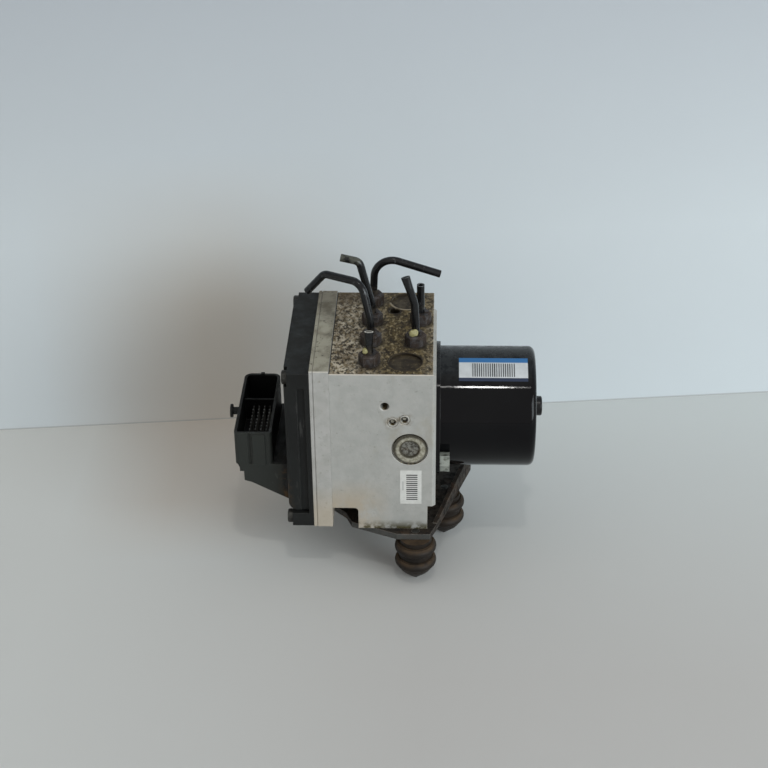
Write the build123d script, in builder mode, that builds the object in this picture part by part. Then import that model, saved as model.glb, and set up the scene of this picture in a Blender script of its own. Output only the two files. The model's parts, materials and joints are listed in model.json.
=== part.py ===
from build123d import *
from math import cos, radians, sin
import os

os.makedirs("parts", exist_ok=True)

# An anti-lock brake module: a drilled aluminium valve block that carries the controller on its left,
# the pump motor on its right, six cut brake pipes on top and a steel bracket with rubber feet below.
# Millimetres, +Z up, the pump pistons lie along Y, the motor shaft along X.
# The origin is under the middle of the unit, on the surface that the rubber feet stand on.

# ---------------------------------------------------------------- clearances
thread_clearance = 0.03
seat_clearance = 0.02
running_clearance = 0.05
slip_clearance = 0.10
label_thickness = 0.12

# ---------------------------------------------------------------- valve block
block_length = 66.8
block_depth = 107.0
block_height = 117.2
block_edge_chamfer = 2.0
block_notch_length = 16.8
block_notch_depth = 32.0
block_notch_height = 16.0
block_notch_round = 2.5
block_step_width = 5.2
block_step_height = 18.0
block_relief_width = 1.7
block_relief_depth = 21.0
block_relief_height = 19.0

# ---------------------------------------------------------------- controller housing and cover
housing_thickness = 12.2
housing_raise = 1.8
housing_drop = 1.0
housing_setback = 1.3
housing_wall = 5.5
housing_lip = 2.0
housing_groove = 0.5
housing_gusset = 13.0
cover_thickness = 16.3
cover_wall = 2.0
cover_side_wall = 4.5
cover_bottom = 8.0
cover_bulge_bottom = 13.0
cover_top_gap = 0.2
cover_flange = 3.0
cover_channel_width = 5.0
cover_channel_depth = 2.2
cover_channel_drop = 10.0
cover_round = 2.5
cover_lower_round = 6.0
lug_size = 9.6
lug_recess = 2.3
seal_width = 1.6
seal_depth = 1.2
seal_inset = 1.8

# ---------------------------------------------------------------- connector shroud
shroud_gap = 10.3
shroud_width = 24.2
shroud_length = 74.3
shroud_front = 12.0
shroud_mouth = 65.5
shroud_bottom = 41.5
shroud_wall = 1.8
shroud_floor = 2.5
shroud_rear_round = 5.0
shroud_front_round = 2.5
shroud_step_width = 5.2
shroud_step_height = 5.5
funnel_side_height = 7.1
funnel_flat = 4.8
funnel_foot = 13.4
funnel_wall = 2.0
funnel_edge = 0.5
funnel_ledge = 2.6
funnel_slant = 1.5
rib_width = 9.0
rib_height = 1.0
groove_width = 2.0
groove_offset = 9.6
divider_thickness = 1.2
divider_place = 50.5
divider_drop = 5.5
pivot_radius = 4.5
pivot_disc = 1.5
pivot_stem_radius = 2.5
pivot_reach = 6.2
pivot_place = 37.0
pivot_drop = 6.5
pin_size = 0.8
pin_rows = 4
pin_columns = 11
pin_row_pitch = 3.6
pin_column_pitch = 4.0
pin_row_inset = 8.2
pin_column_inset = 6.0
pin_drop = 8.5
leg_pitch = 2.0
leg_inset = 2.1
blade_width = 3.0
blade_rows = 2
blade_columns = 3
blade_row_pitch = 9.0
blade_column_pitch = 6.5
blade_column_inset = 56.5
blade_drop = 15.0

# ---------------------------------------------------------------- circuit board
board_thickness = 1.6
board_standoff = 2.7
board_margin = 1.6
board_corner = 8.0
post_radius = 2.5
post_inset = 17.0
post_side_inset = 9.0
chip_size = 20.0
chip_height = 1.5
driver_length = 14.0
driver_width = 9.0
capacitor_radius = 4.0
capacitor_height = 2.2

# ---------------------------------------------------------------- solenoid valves
valve_columns = 4
valve_edge = 17.5
inlet_height = 86.0
outlet_height = 42.0
valve_flange_radius = 7.0
valve_flange_depth = 8.0
valve_nose_radius = 5.0
valve_nose_depth = 16.0
dome_radius = 4.0
dome_wall = 0.6
dome_length = 19.2
core_depth = 2.3
stem_radius = 1.0
stem_length = 22.0
plunger_gap = 0.9
yoke_radius = 9.6
yoke_wall = 1.2
coil_length = 17.8
terminal_radius = 6.2
terminal_size = 0.8

# ---------------------------------------------------------------- motor
can_radius = 39.4
can_length = 64.2
can_wall = 2.0
can_end_round = 4.0
rim_radius = 42.3
rim_thickness = 2.6
motor_height = 62.1
motor_bolt_circle = 45.2
motor_bolt_angles = (202, 322)
motor_bolt_radius = 3.0
motor_bolt_depth = 13.0
motor_bolt_flats = 11.0
motor_bolt_head = 6.3
motor_ear_radius = 7.5
plate_thickness = 2.5
hub_radius = 13.5
hub_depth = 4.2
hub_height = 5.3
hub_shoulder = 2.5
bearing_radius = 11.0
bearing_width = 7.0
shaft_radius = 4.0
seal_radius = 8.0
magnet_thickness = 6.0
magnet_count = 4
magnet_gap = 10.0
magnet_overlap = 1.0
air_gap = 0.8
core_start = 24.0
slot_count = 10
slot_width = 3.4
slot_bottom = 13.5
overhang = 4.0
overhang_inner = 8.0
overhang_setback = 1.6
rotor_end_gap = 2.4
commutator_start = 7.5
commutator_length = 11.5
commutator_radius = 11.0
commutator_slots = 12
commutator_slot_width = 0.6
brush_plate_start = 6.3
brush_plate_thickness = 3.0
brush_width = 5.0
brush_height = 8.0
brush_length = 14.0
brush_inset = 1.5
brush_box_wall = 1.5
brush_box_length = 12.0
brush_box_gap = 3.0
vent_radius = 6.5
vent_neck_radius = 4.5
vent_neck = 1.4
vent_cap = 4.1
motor_label_start = 14.5
motor_label_length = 44.2
motor_label_low = 55.0
motor_label_high = 82.4
motor_seal_radius = 16.5
motor_seal_width = 1.6

# ---------------------------------------------------------------- pump
pump_inset = 50.35
eccentricity = 1.0
eccentric_radius = 5.5
collar_radius = 6.8
collar_thickness = 1.2
ring_radius = 11.0
ring_width = 8.6
chamber_gap = 1.0
journal_radius = 3.5
journal_length = 7.0
piston_bore = 4.0
piston_clear_radius = 5.0
sleeve_radius = 8.0
sleeve_seat = 5.0
sleeve_setback = 6.4
sleeve_port = 1.5
pump_spring_length = 10.0
pump_spring_radius = 3.3
pump_spring_wire = 0.7
pump_spring_turns = 6
plug_radius = 10.7
plug_length = 7.0
plug_recess_radius = 6.0
plug_recess = 1.0
stake_width = 1.05
stake_depth = 1.5

# ---------------------------------------------------------------- accumulators
accumulator_inset = 47.2
accumulator_front = 16.0
accumulator_rear_inset = 12.0
accumulator_radius = 8.5
accumulator_depth = 34.0
cap_radius = 10.7
cap_recess = 1.5
cap_thickness = 2.0
reservoir_piston_height = 8.0
reservoir_wire = 1.2
reservoir_spring_radius = 6.8
reservoir_spring_turns = 5

# ---------------------------------------------------------------- ports, nuts and pipes
port_radius = 5.0
port_depth = 14.0
port_left_inset = 24.9
port_places_left = (14.2, 39.5, 66.0, 92.0)
port_right_inset = 53.4
port_far_inset = 56.3
port_middle_place = 38.8
port_far_place = 67.0
passage_radius = 1.6
nut_flats = 12.0
nut_height = 7.0
nut_collar = 0.6
nut_chamfer = 0.8
pipe_radius = 2.5
pipe_wall = 0.9
pipe_seat_depth = 12.0
crush_length = 8.0
crush_width = 2.9
crush_height = 1.4

# ---------------------------------------------------------------- tapped holes, balls and label
front_thread_radius = 2.65
front_thread_depth = 14.0
front_thread_inset = 34.65
front_thread_height = 94.0
top_thread_radius = 3.6
top_thread_depth = 14.0
top_thread_inset = 39.05
top_thread_place = 82.3
thread_chamfer = 0.5
ball_radius = 2.3
ball_depth = 6.0
ball_stake_radius = 3.85
ball_stake_width = 0.7
ball_stake_depth = 0.5
ball_places = ((39.45, 82.4), (47.05, 84.3))
block_label_inset = 44.05
block_label_height = 20.0
block_label_width = 13.8
block_label_length = 26.0

# ---------------------------------------------------------------- small screws
cover_screw_inset = 4.8
cover_screw_top = 112.2
cover_screw_bottom = 6.2
cover_screw_head = 4.5
cover_screw_head_height = 3.4
cover_screw_radius = 2.0
cover_screw_length = 22.0
housing_screw_inset = 12.6
housing_screw_top = 104.4
housing_screw_bottom = 21.6
housing_screw_head = 3.3
housing_screw_head_height = 2.8
housing_pad_radius = 4.3
housing_screw_radius = 2.0
housing_screw_length = 21.0
screw_drive_radius = 1.5
screw_drive_depth = 1.4

# ---------------------------------------------------------------- bracket and rubber feet
bracket_thickness = 4.3
bracket_overhang = 6.2
bracket_corner = 5.0
nose_left_inset = 42.0
nose_right_inset = 63.6
lip_front_reach = 1.3
lip_front_place = 5.4
lip_rear_reach = 24.7
lip_rear_place = 31.0
tail_reach = 19.0
tail_place = 19.0
tail_left_inset = 30.0
bracket_rear_place = 2.5
wing_reach = 8.5
wing_rear_place = 47.0
wing_front_place = 33.0
shoulder_inset = 8.2
shoulder_place = 16.0
neck_inset = 12.0
neck_place = 6.6
lip_thickness = 3.0
lip_height = 9.8
foot_radius = 13.65
foot_ring = 7.2
foot_collar_radius = 10.5
foot_collar = 3.4
foot_neck_radius = 10.8
foot_neck = 3.9
foot_cone_radius = 11.8
foot_cone = 11.0
foot_tip_radius = 1.6
foot_round = 2.6
stud_radius = 2.5
stud_length = 17.0
foot_front_inset = 54.05
foot_front_overhang = 2.4
foot_right_overhang = 6.0
foot_right_place = 47.7
foot_left_overhang = -9.8
foot_left_place = 92.0
bracket_bolt_radius = 3.0
bracket_bolt_depth = 12.0
bracket_bolt_flats = 10.0
bracket_bolt_head = 4.0
bracket_bolt_places = ((38.0, 14.0), (27.0, 71.0), (50.0, 80.0))

# ================================================================ frame of the unit
foot_height = foot_collar + 2 * foot_ring + foot_neck + foot_cone
shroud_reach = housing_thickness + cover_thickness + shroud_gap + shroud_width
unit_left_reach = shroud_reach + pivot_reach
unit_right_reach = block_length + can_length + vent_neck + vent_cap
block_left = (unit_left_reach - unit_right_reach) / 2
block_right = block_left + block_length
foot_front_reach = foot_front_overhang + foot_radius
block_front = (foot_front_reach - block_depth) / 2
block_rear = block_front + block_depth
block_bottom = foot_height + bracket_thickness
block_top = block_bottom + block_height
motor_y = (block_front + block_rear) / 2
motor_z = block_bottom + motor_height
pump_x = block_left + pump_inset
front_face = Plane.XZ.offset(-block_front)
top_face = Plane.XY.offset(block_top)
bottom_face = Plane.XY.offset(block_bottom)
left_face = Plane.YZ.offset(block_left)
right_face = Plane.YZ.offset(block_right)

cover_right = block_left - housing_thickness
cover_left = cover_right - cover_thickness
cover_top = block_top - cover_top_gap
housing_top = block_top + housing_raise
housing_bottom = block_bottom + housing_drop
housing_rear = block_rear - housing_setback

# Pump stations along the shaft and across the block.
chamber_radius = ring_radius + eccentricity + chamber_gap
chamber_left = pump_x - ring_width / 2 - collar_thickness
chamber_depth = block_right - chamber_left
hub_bore_radius = hub_radius + seat_clearance
sleeve_end = block_depth / 2 - chamber_radius - sleeve_setback
piston_start = plug_length + sleeve_seat + pump_spring_length
piston_end = block_depth / 2 - ring_radius - eccentricity - running_clearance
pump_bore_radius = plug_radius + seat_clearance
sleeve_bore_radius = sleeve_radius + seat_clearance

valve_pitch = (block_depth - 2 * valve_edge) / (valve_columns - 1)
valve_points = [
    (motor_y + (column - (valve_columns - 1) / 2) * valve_pitch, block_bottom + height)
    for height in (inlet_height, outlet_height)
    for column in range(valve_columns)
]
port_points = [(block_left + port_left_inset, block_front + place) for place in port_places_left]
port_points.append((block_left + port_right_inset, block_front + port_middle_place))
port_points.append((block_left + port_far_inset, block_front + port_far_place))
accumulator_points = [
    (block_left + accumulator_inset, block_front + accumulator_front),
    (block_left + accumulator_inset, block_rear - accumulator_rear_inset),
]
ball_points = [(block_left + inset, block_bottom + height) for inset, height in ball_places]
motor_bolt_points = [
    (
        motor_y + motor_bolt_circle * cos(radians(angle)),
        motor_z + motor_bolt_circle * sin(radians(angle)),
    )
    for angle in motor_bolt_angles
]
housing_screw_points = [
    (block_front + housing_screw_inset, block_bottom + housing_screw_top),
    (housing_rear - housing_screw_inset, block_bottom + housing_screw_top),
    (block_front + housing_screw_inset, block_bottom + housing_screw_bottom),
    (housing_rear - housing_screw_inset, block_bottom + housing_screw_bottom),
]
cover_screw_points = [
    (block_front + cover_screw_inset, block_bottom + cover_screw_top),
    (block_rear - cover_screw_inset, block_bottom + cover_screw_top),
    (block_front + cover_screw_inset, block_bottom + cover_screw_bottom),
    (block_rear - cover_screw_inset, block_bottom + cover_screw_bottom),
]
bracket_bolt_points = [
    (block_left + inset, block_front + place) for inset, place in bracket_bolt_places
]
foot_points = [
    (block_left + foot_front_inset, block_front - foot_front_overhang),
    (block_right + foot_right_overhang, block_front + foot_right_place),
    (block_left - foot_left_overhang, block_front + foot_left_place),
]

# ================================================================ valve block
# One extruded billet, sawn and drilled from five sides: pipe ports and accumulator bores from the top,
# pump bores from the front and rear, valve bores from the left, the motor bore from the right.
with BuildPart() as valve_block:
    with BuildSketch(bottom_face):
        with Locations((block_left, block_front)):
            Rectangle(block_length, block_depth, align=(Align.MIN, Align.MIN))
    extrude(amount=block_height)
    top_right_edge = valve_block.edges().filter_by(Axis.Y).group_by(Axis.Z)[-1].sort_by(Axis.X)[-1]
    front_right_edge = valve_block.edges().filter_by(Axis.Z).group_by(Axis.Y)[0].sort_by(Axis.X)[-1]
    chamfer([top_right_edge, front_right_edge], length=block_edge_chamfer)
    # Notch under the front left corner, where the bracket's arm passes.
    with BuildSketch(front_face):
        with Locations((block_left, block_bottom)):
            Rectangle(block_notch_length, block_notch_height, align=(Align.MIN, Align.MIN))
        inner_corner = vertices().sort_by(Axis.X)[-2:].sort_by(Axis.Z)[-1]
        fillet(inner_corner, radius=block_notch_round)
    extrude(amount=-block_notch_depth, mode=Mode.SUBTRACT)
    # Step along the lower right edge, below the motor's rim.
    with BuildSketch(front_face):
        with Locations((block_right, block_bottom)):
            Rectangle(block_step_width, block_step_height, align=(Align.MAX, Align.MIN))
    extrude(amount=-block_depth, mode=Mode.SUBTRACT)
    # Relief at the upper rear right corner.
    with BuildSketch(top_face):
        with Locations((block_right, block_rear)):
            Rectangle(block_relief_width, block_relief_depth, align=(Align.MAX, Align.MAX))
    extrude(amount=-block_relief_height, mode=Mode.SUBTRACT)
    # Pipe ports, each with its drilling towards the valves.
    with BuildSketch(top_face):
        with Locations(*port_points):
            Circle(port_radius)
    extrude(amount=-port_depth, mode=Mode.SUBTRACT)
    with BuildSketch(top_face):
        with Locations(*port_points[: len(port_places_left)]):
            Circle(passage_radius)
    extrude(amount=inlet_height - block_height, mode=Mode.SUBTRACT)
    # Accumulator bores with their cap seats.
    with BuildSketch(top_face):
        with Locations(*accumulator_points):
            Circle(accumulator_radius)
    extrude(amount=-accumulator_depth, mode=Mode.SUBTRACT)
    with BuildSketch(top_face):
        with Locations(*accumulator_points):
            Circle(cap_radius)
    extrude(amount=-(cap_recess + cap_thickness), mode=Mode.SUBTRACT)
    # Tapped hole in the top.
    with Locations((block_left + top_thread_inset, block_front + top_thread_place, block_top)):
        CounterSinkHole(top_thread_radius, top_thread_radius + thread_chamfer, top_thread_depth, 90)
    # Tapped hole in the front.
    with BuildSketch(front_face):
        with Locations((block_left + front_thread_inset, block_bottom + front_thread_height)):
            Circle(front_thread_radius)
    extrude(amount=-front_thread_depth, mode=Mode.SUBTRACT)
    front_thread_edge = (
        valve_block.edges()
        .filter_by(GeomType.CIRCLE)
        .filter_by(lambda edge: abs(edge.radius - front_thread_radius) < seat_clearance)
        .sort_by(Axis.Y)[0]
    )
    chamfer(front_thread_edge, length=thread_chamfer)
    # Ball bores, each with the ring left by its staking tool.
    with BuildSketch(front_face):
        with Locations(*ball_points):
            Circle(ball_radius)
    extrude(amount=-ball_depth, mode=Mode.SUBTRACT)
    with BuildSketch(front_face):
        with Locations(*ball_points):
            Circle(passage_radius)
    extrude(amount=-(accumulator_front - accumulator_radius + passage_radius), mode=Mode.SUBTRACT)
    with BuildSketch(front_face):
        with Locations(*ball_points):
            Circle(ball_stake_radius)
            Circle(ball_stake_radius - ball_stake_width, mode=Mode.SUBTRACT)
    extrude(amount=-ball_stake_depth, mode=Mode.SUBTRACT)
    # Pump bores from the front and the rear, meeting in the eccentric's chamber.
    for side in (1, -1):
        pump_mouth = Plane.XZ.offset(-motor_y + side * block_depth / 2)
        with BuildSketch(pump_mouth):
            with Locations((pump_x, motor_z)):
                Circle(plug_radius + stake_width)
        extrude(amount=-side * stake_depth, mode=Mode.SUBTRACT)
        with BuildSketch(pump_mouth):
            with Locations((pump_x, motor_z)):
                Circle(pump_bore_radius)
        extrude(amount=-side * plug_length, mode=Mode.SUBTRACT)
        with BuildSketch(pump_mouth):
            with Locations((pump_x, motor_z)):
                Circle(sleeve_bore_radius)
        extrude(amount=-side * sleeve_end, mode=Mode.SUBTRACT)
        with BuildSketch(pump_mouth):
            with Locations((pump_x, motor_z)):
                Circle(piston_clear_radius)
        extrude(amount=-side * block_depth / 2, mode=Mode.SUBTRACT)
    # Motor bore: hub seat, eccentric's chamber and end journal.
    for radius, depth in (
        (hub_bore_radius, hub_depth),
        (chamber_radius, chamber_depth),
        (journal_radius + running_clearance, chamber_depth + journal_length + slip_clearance),
    ):
        with BuildSketch(right_face):
            with Locations((motor_y, motor_z)):
                Circle(radius)
        extrude(amount=-depth, mode=Mode.SUBTRACT)
    # Groove for the motor's seal.
    with BuildSketch(right_face):
        with Locations((motor_y, motor_z)):
            Circle(motor_seal_radius + motor_seal_width)
            Circle(motor_seal_radius, mode=Mode.SUBTRACT)
    extrude(amount=-motor_seal_width, mode=Mode.SUBTRACT)
    # Motor bolt holes.
    with BuildSketch(right_face):
        with Locations(*motor_bolt_points):
            Circle(motor_bolt_radius + thread_clearance)
    extrude(amount=-(motor_bolt_depth + 1), mode=Mode.SUBTRACT)
    # Valve bores.
    with BuildSketch(left_face):
        with Locations(*valve_points):
            Circle(valve_flange_radius + seat_clearance)
    extrude(amount=valve_flange_depth, mode=Mode.SUBTRACT)
    with BuildSketch(left_face):
        with Locations(*valve_points):
            Circle(valve_nose_radius + seat_clearance)
    extrude(amount=valve_flange_depth + valve_nose_depth, mode=Mode.SUBTRACT)
    # Screw holes for the controller housing and bolt holes for the bracket.
    with BuildSketch(left_face):
        with Locations(*housing_screw_points):
            Circle(housing_screw_radius + thread_clearance)
    extrude(amount=housing_screw_length - housing_thickness + 1, mode=Mode.SUBTRACT)
    with BuildSketch(bottom_face):
        with Locations(*bracket_bolt_points):
            Circle(bracket_bolt_radius + thread_clearance)
    extrude(amount=bracket_bolt_depth + 1, mode=Mode.SUBTRACT)
valve_block.part.label = "valve_block"
export_step(valve_block.part, "parts/valve_block.step")

# ================================================================ plugs and caps in the block
# Pump plugs: pressed discs, staked in, with a rough turned recess in the middle.
with BuildPart() as pump_plugs:
    for side in (1, -1):
        pump_mouth = Plane.XZ.offset(-motor_y + side * block_depth / 2)
        with BuildSketch(pump_mouth):
            with Locations((pump_x, motor_z)):
                Circle(plug_radius)
        extrude(amount=-side * plug_length)
        with BuildSketch(pump_mouth):
            with Locations((pump_x, motor_z)):
                Circle(plug_recess_radius)
        extrude(amount=-side * plug_recess, mode=Mode.SUBTRACT)
pump_plugs.part.label = "pump_plugs"
export_step(pump_plugs.part, "parts/pump_plugs.step")

# Pump sleeves: hardened cylinders with the outlet port in their closed outer end.
with BuildPart() as pump_sleeves:
    for side in (1, -1):
        sleeve_outer = Plane.XZ.offset(-motor_y + side * (block_depth / 2 - plug_length))
        with BuildSketch(sleeve_outer):
            with Locations((pump_x, motor_z)):
                Circle(sleeve_radius)
                Circle(sleeve_port, mode=Mode.SUBTRACT)
        extrude(amount=-side * sleeve_seat)
        with BuildSketch(sleeve_outer.offset(-side * sleeve_seat)):
            with Locations((pump_x, motor_z)):
                Circle(sleeve_radius)
                Circle(piston_bore, mode=Mode.SUBTRACT)
        extrude(amount=-side * (sleeve_end - plug_length - sleeve_seat))
pump_sleeves.part.label = "pump_sleeves"
export_step(pump_sleeves.part, "parts/pump_sleeves.step")

# Accumulator caps: pressed discs that close the two reservoir bores, just under the block's top.
with BuildPart() as accumulator_caps:
    with BuildSketch(top_face.offset(-cap_recess)):
        with Locations(*accumulator_points):
            Circle(cap_radius - seat_clearance)
    extrude(amount=-cap_thickness)
accumulator_caps.part.label = "accumulator_caps"
export_step(accumulator_caps.part, "parts/accumulator_caps.step")

# Ball plugs: steel balls pressed into the cross drillings.
with BuildPart() as ball_plugs:
    with Locations(*[(x, block_front + ball_radius + 1, z) for x, z in ball_points]):
        Sphere(ball_radius - seat_clearance)
ball_plugs.part.label = "ball_plugs"
export_step(ball_plugs.part, "parts/ball_plugs.step")

# ================================================================ accumulator pistons and springs
reservoir_bottom = block_top - accumulator_depth
reservoir_spring_low = reservoir_bottom + slip_clearance + reservoir_piston_height
reservoir_spring_top = block_top - cap_recess - cap_thickness
for name, place in zip(("front", "rear"), accumulator_points):
    with BuildPart() as reservoir_piston:
        with BuildSketch(Plane.XY.offset(reservoir_bottom + slip_clearance)):
            with Locations(place):
                Circle(accumulator_radius - running_clearance)
        extrude(amount=reservoir_piston_height)
        with BuildSketch(Plane.XY.offset(reservoir_spring_low)):
            with Locations(place):
                Circle(reservoir_spring_radius - reservoir_wire - running_clearance)
        extrude(amount=-reservoir_piston_height / 2, mode=Mode.SUBTRACT)
    reservoir_piston.part.label = f"accumulator_piston_{name}"
    export_step(reservoir_piston.part, f"parts/accumulator_piston_{name}.step")

    coil_height = reservoir_spring_top - reservoir_spring_low - reservoir_wire
    with BuildPart() as reservoir_spring:
        with BuildLine() as coil_line:
            Helix(
                pitch=coil_height / reservoir_spring_turns,
                height=coil_height,
                radius=reservoir_spring_radius - reservoir_wire / 2,
                center=(place[0], place[1], reservoir_spring_low + reservoir_wire / 2),
            )
        with BuildSketch(Plane(coil_line.line @ 0, z_dir=coil_line.line % 0)):
            Circle(reservoir_wire / 2)
        sweep()
    reservoir_spring.part.label = f"accumulator_spring_{name}"
    export_step(reservoir_spring.part, f"parts/accumulator_spring_{name}.step")

# ================================================================ pump pistons and springs
piston_length = piston_end - piston_start
for name, side in (("front", 1), ("rear", -1)):
    with BuildPart() as pump_piston:
        with BuildSketch(Plane.XZ.offset(-motor_y + side * (block_depth / 2 - piston_start))):
            with Locations((pump_x, motor_z)):
                Circle(piston_bore - running_clearance)
        extrude(amount=-side * piston_length)
    pump_piston.part.label = f"pump_piston_{name}"
    export_step(pump_piston.part, f"parts/pump_piston_{name}.step")

pump_coil_length = pump_spring_length - pump_spring_wire - slip_clearance
pump_coil_start = plug_length + sleeve_seat + pump_spring_wire / 2
with BuildPart() as pump_springs:
    for side in (1, -1):
        with BuildLine() as coil_line:
            Helix(
                pitch=pump_coil_length / pump_spring_turns,
                height=pump_coil_length,
                radius=pump_spring_radius - pump_spring_wire / 2,
                center=(pump_x, motor_y - side * (block_depth / 2 - pump_coil_start), motor_z),
                direction=(0, side, 0),
            )
        with BuildSketch(Plane(coil_line.line @ 0, z_dir=coil_line.line % 0)):
            Circle(pump_spring_wire / 2)
        sweep(path=coil_line.line)
pump_springs.part.label = "pump_springs"
export_step(pump_springs.part, "parts/pump_springs.step")

# ================================================================ solenoid valves
# Valve cartridges: a nose and flange pressed into the block and a closed dome tube outside it.
dome_tip = block_left - dome_length
core_face = block_left - core_depth
with BuildPart() as valve_bodies:
    with BuildSketch(left_face):
        with Locations(*valve_points):
            Circle(valve_flange_radius)
    extrude(amount=valve_flange_depth)
    with BuildSketch(left_face.offset(valve_flange_depth)):
        with Locations(*valve_points):
            Circle(valve_nose_radius)
    extrude(amount=valve_nose_depth)
    with BuildSketch(left_face):
        with Locations(*valve_points):
            Circle(dome_radius)
    extrude(amount=-dome_length)
    with BuildSketch(Plane.YZ.offset(dome_tip + dome_wall)):
        with Locations(*valve_points):
            Circle(dome_radius - dome_wall)
    extrude(amount=core_face - dome_tip - dome_wall, mode=Mode.SUBTRACT)
    with BuildSketch(Plane.YZ.offset(core_face)):
        with Locations(*valve_points):
            Circle(stem_radius + slip_clearance)
    extrude(amount=core_depth + valve_flange_depth + valve_nose_depth, mode=Mode.SUBTRACT)
valve_bodies.part.label = "valve_bodies"
export_step(valve_bodies.part, "parts/valve_bodies.step")

# Valve plungers: one armature and stem in each dome, the upper four for the inlet valves.
plunger_left = dome_tip + dome_wall + plunger_gap
plunger_right = core_face - plunger_gap
plunger_names = [f"inlet_plunger_{n + 1}" for n in range(valve_columns)]
plunger_names += [f"outlet_plunger_{n + 1}" for n in range(valve_columns)]
for name, place in zip(plunger_names, valve_points):
    with BuildPart() as plunger:
        with BuildSketch(Plane.YZ.offset(plunger_left)):
            with Locations(place):
                Circle(dome_radius - dome_wall - running_clearance)
        extrude(amount=plunger_right - plunger_left)
        with BuildSketch(Plane.YZ.offset(plunger_right)):
            with Locations(place):
                Circle(stem_radius)
        extrude(amount=stem_length)
    plunger.part.label = name
    export_step(plunger.part, f"parts/{name}.step")

# Coil yokes: steel cups that stand on the block around each winding.
yoke_left = block_left - coil_length - 2 * yoke_wall
terminal_points = [
    (y + shift, z) for y, z in valve_points for shift in (-terminal_radius, terminal_radius)
]
with BuildPart() as coil_yokes:
    with BuildSketch(Plane.YZ.offset(yoke_left)):
        with Locations(*valve_points):
            Circle(yoke_radius)
    extrude(amount=block_left - yoke_left)
    with BuildSketch(Plane.YZ.offset(yoke_left + yoke_wall)):
        with Locations(*valve_points):
            Circle(yoke_radius - yoke_wall)
    extrude(amount=coil_length, mode=Mode.SUBTRACT)
    with BuildSketch(Plane.YZ.offset(yoke_left)):
        with Locations(*valve_points):
            Circle(dome_radius + seat_clearance)
        with Locations(*terminal_points):
            Circle(terminal_size)
    extrude(amount=yoke_wall, mode=Mode.SUBTRACT)
    with BuildSketch(left_face):
        with Locations(*valve_points):
            Circle(dome_radius + seat_clearance)
    extrude(amount=-yoke_wall, mode=Mode.SUBTRACT)
coil_yokes.part.label = "coil_yokes"
export_step(coil_yokes.part, "parts/coil_yokes.step")

# Valve coils: copper windings on their bobbins, with two terminals each that reach the board.
board_left = cover_left + cover_wall + board_standoff
board_right = board_left + board_thickness
with BuildPart() as valve_coils:
    with BuildSketch(Plane.YZ.offset(yoke_left + yoke_wall)):
        with Locations(*valve_points):
            Circle(yoke_radius - yoke_wall - seat_clearance)
            Circle(dome_radius + seat_clearance, mode=Mode.SUBTRACT)
    extrude(amount=coil_length)
    with BuildSketch(Plane.YZ.offset(yoke_left + yoke_wall)):
        with Locations(*terminal_points):
            Rectangle(terminal_size, terminal_size)
    extrude(amount=-(yoke_left + yoke_wall - board_right))
valve_coils.part.label = "valve_coils"
export_step(valve_coils.part, "parts/valve_coils.step")

# ================================================================ controller housing
# A cast aluminium frame around the coils, screwed to the block, with a thin lip on the cover's side.
housing_height = housing_top - housing_bottom
housing_depth = housing_rear - block_front
with BuildPart() as ecu_housing:
    with BuildSketch(Plane.YZ.offset(cover_right)):
        with Locations((block_front, housing_bottom)):
            Rectangle(housing_depth, housing_height, align=(Align.MIN, Align.MIN))
    extrude(amount=housing_thickness)
    with BuildSketch(Plane.YZ.offset(cover_right)):
        with Locations((block_front + housing_wall, housing_bottom + housing_wall)):
            Rectangle(
                housing_depth - 2 * housing_wall,
                housing_height - 2 * housing_wall,
                align=(Align.MIN, Align.MIN),
            )
        chamfer(vertices(), length=housing_gusset)
    extrude(amount=housing_thickness, mode=Mode.SUBTRACT)
    # Groove that parts the lip from the frame.
    with BuildSketch(Plane.YZ.offset(cover_right + housing_lip)):
        with Locations((block_front, housing_bottom)):
            Rectangle(housing_depth, housing_height, align=(Align.MIN, Align.MIN))
        with Locations((block_front + housing_groove, housing_bottom + housing_groove)):
            Rectangle(
                housing_depth - 2 * housing_groove,
                housing_height - 2 * housing_groove,
                align=(Align.MIN, Align.MIN),
                mode=Mode.SUBTRACT,
            )
    extrude(amount=housing_groove, mode=Mode.SUBTRACT)
    # Pads that carry the housing screws, each on a short web from the side wall.
    with BuildSketch(Plane.YZ.offset(cover_right)):
        with Locations(*housing_screw_points):
            Circle(housing_pad_radius)
        for y, z in housing_screw_points:
            wall_y = block_front + housing_wall / 2 if y < motor_y else housing_rear - housing_wall / 2
            with Locations(((y + wall_y) / 2, z)):
                Rectangle(abs(y - wall_y), 2 * housing_pad_radius)
    extrude(amount=housing_thickness)
    with BuildSketch(Plane.YZ.offset(cover_right)):
        with Locations(*housing_screw_points):
            Circle(housing_screw_radius + thread_clearance)
    extrude(amount=housing_thickness, mode=Mode.SUBTRACT)
    with BuildSketch(Plane.YZ.offset(cover_right)):
        with Locations(*cover_screw_points):
            Circle(cover_screw_radius + thread_clearance)
    extrude(amount=housing_thickness, mode=Mode.SUBTRACT)
    # Groove for the cover's seal.
    with BuildSketch(Plane.YZ.offset(cover_right)):
        with Locations((block_front + seal_inset, block_bottom + cover_bulge_bottom - seal_inset)):
            Rectangle(
                housing_depth - 2 * seal_inset,
                cover_top - block_bottom - cover_bulge_bottom,
                align=(Align.MIN, Align.MIN),
            )
        chamfer(vertices(), length=lug_size)
        offset(amount=-seal_width, mode=Mode.SUBTRACT)
    extrude(amount=seal_depth, mode=Mode.SUBTRACT)
ecu_housing.part.label = "ecu_housing"
export_step(ecu_housing.part, "parts/ecu_housing.step")

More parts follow.
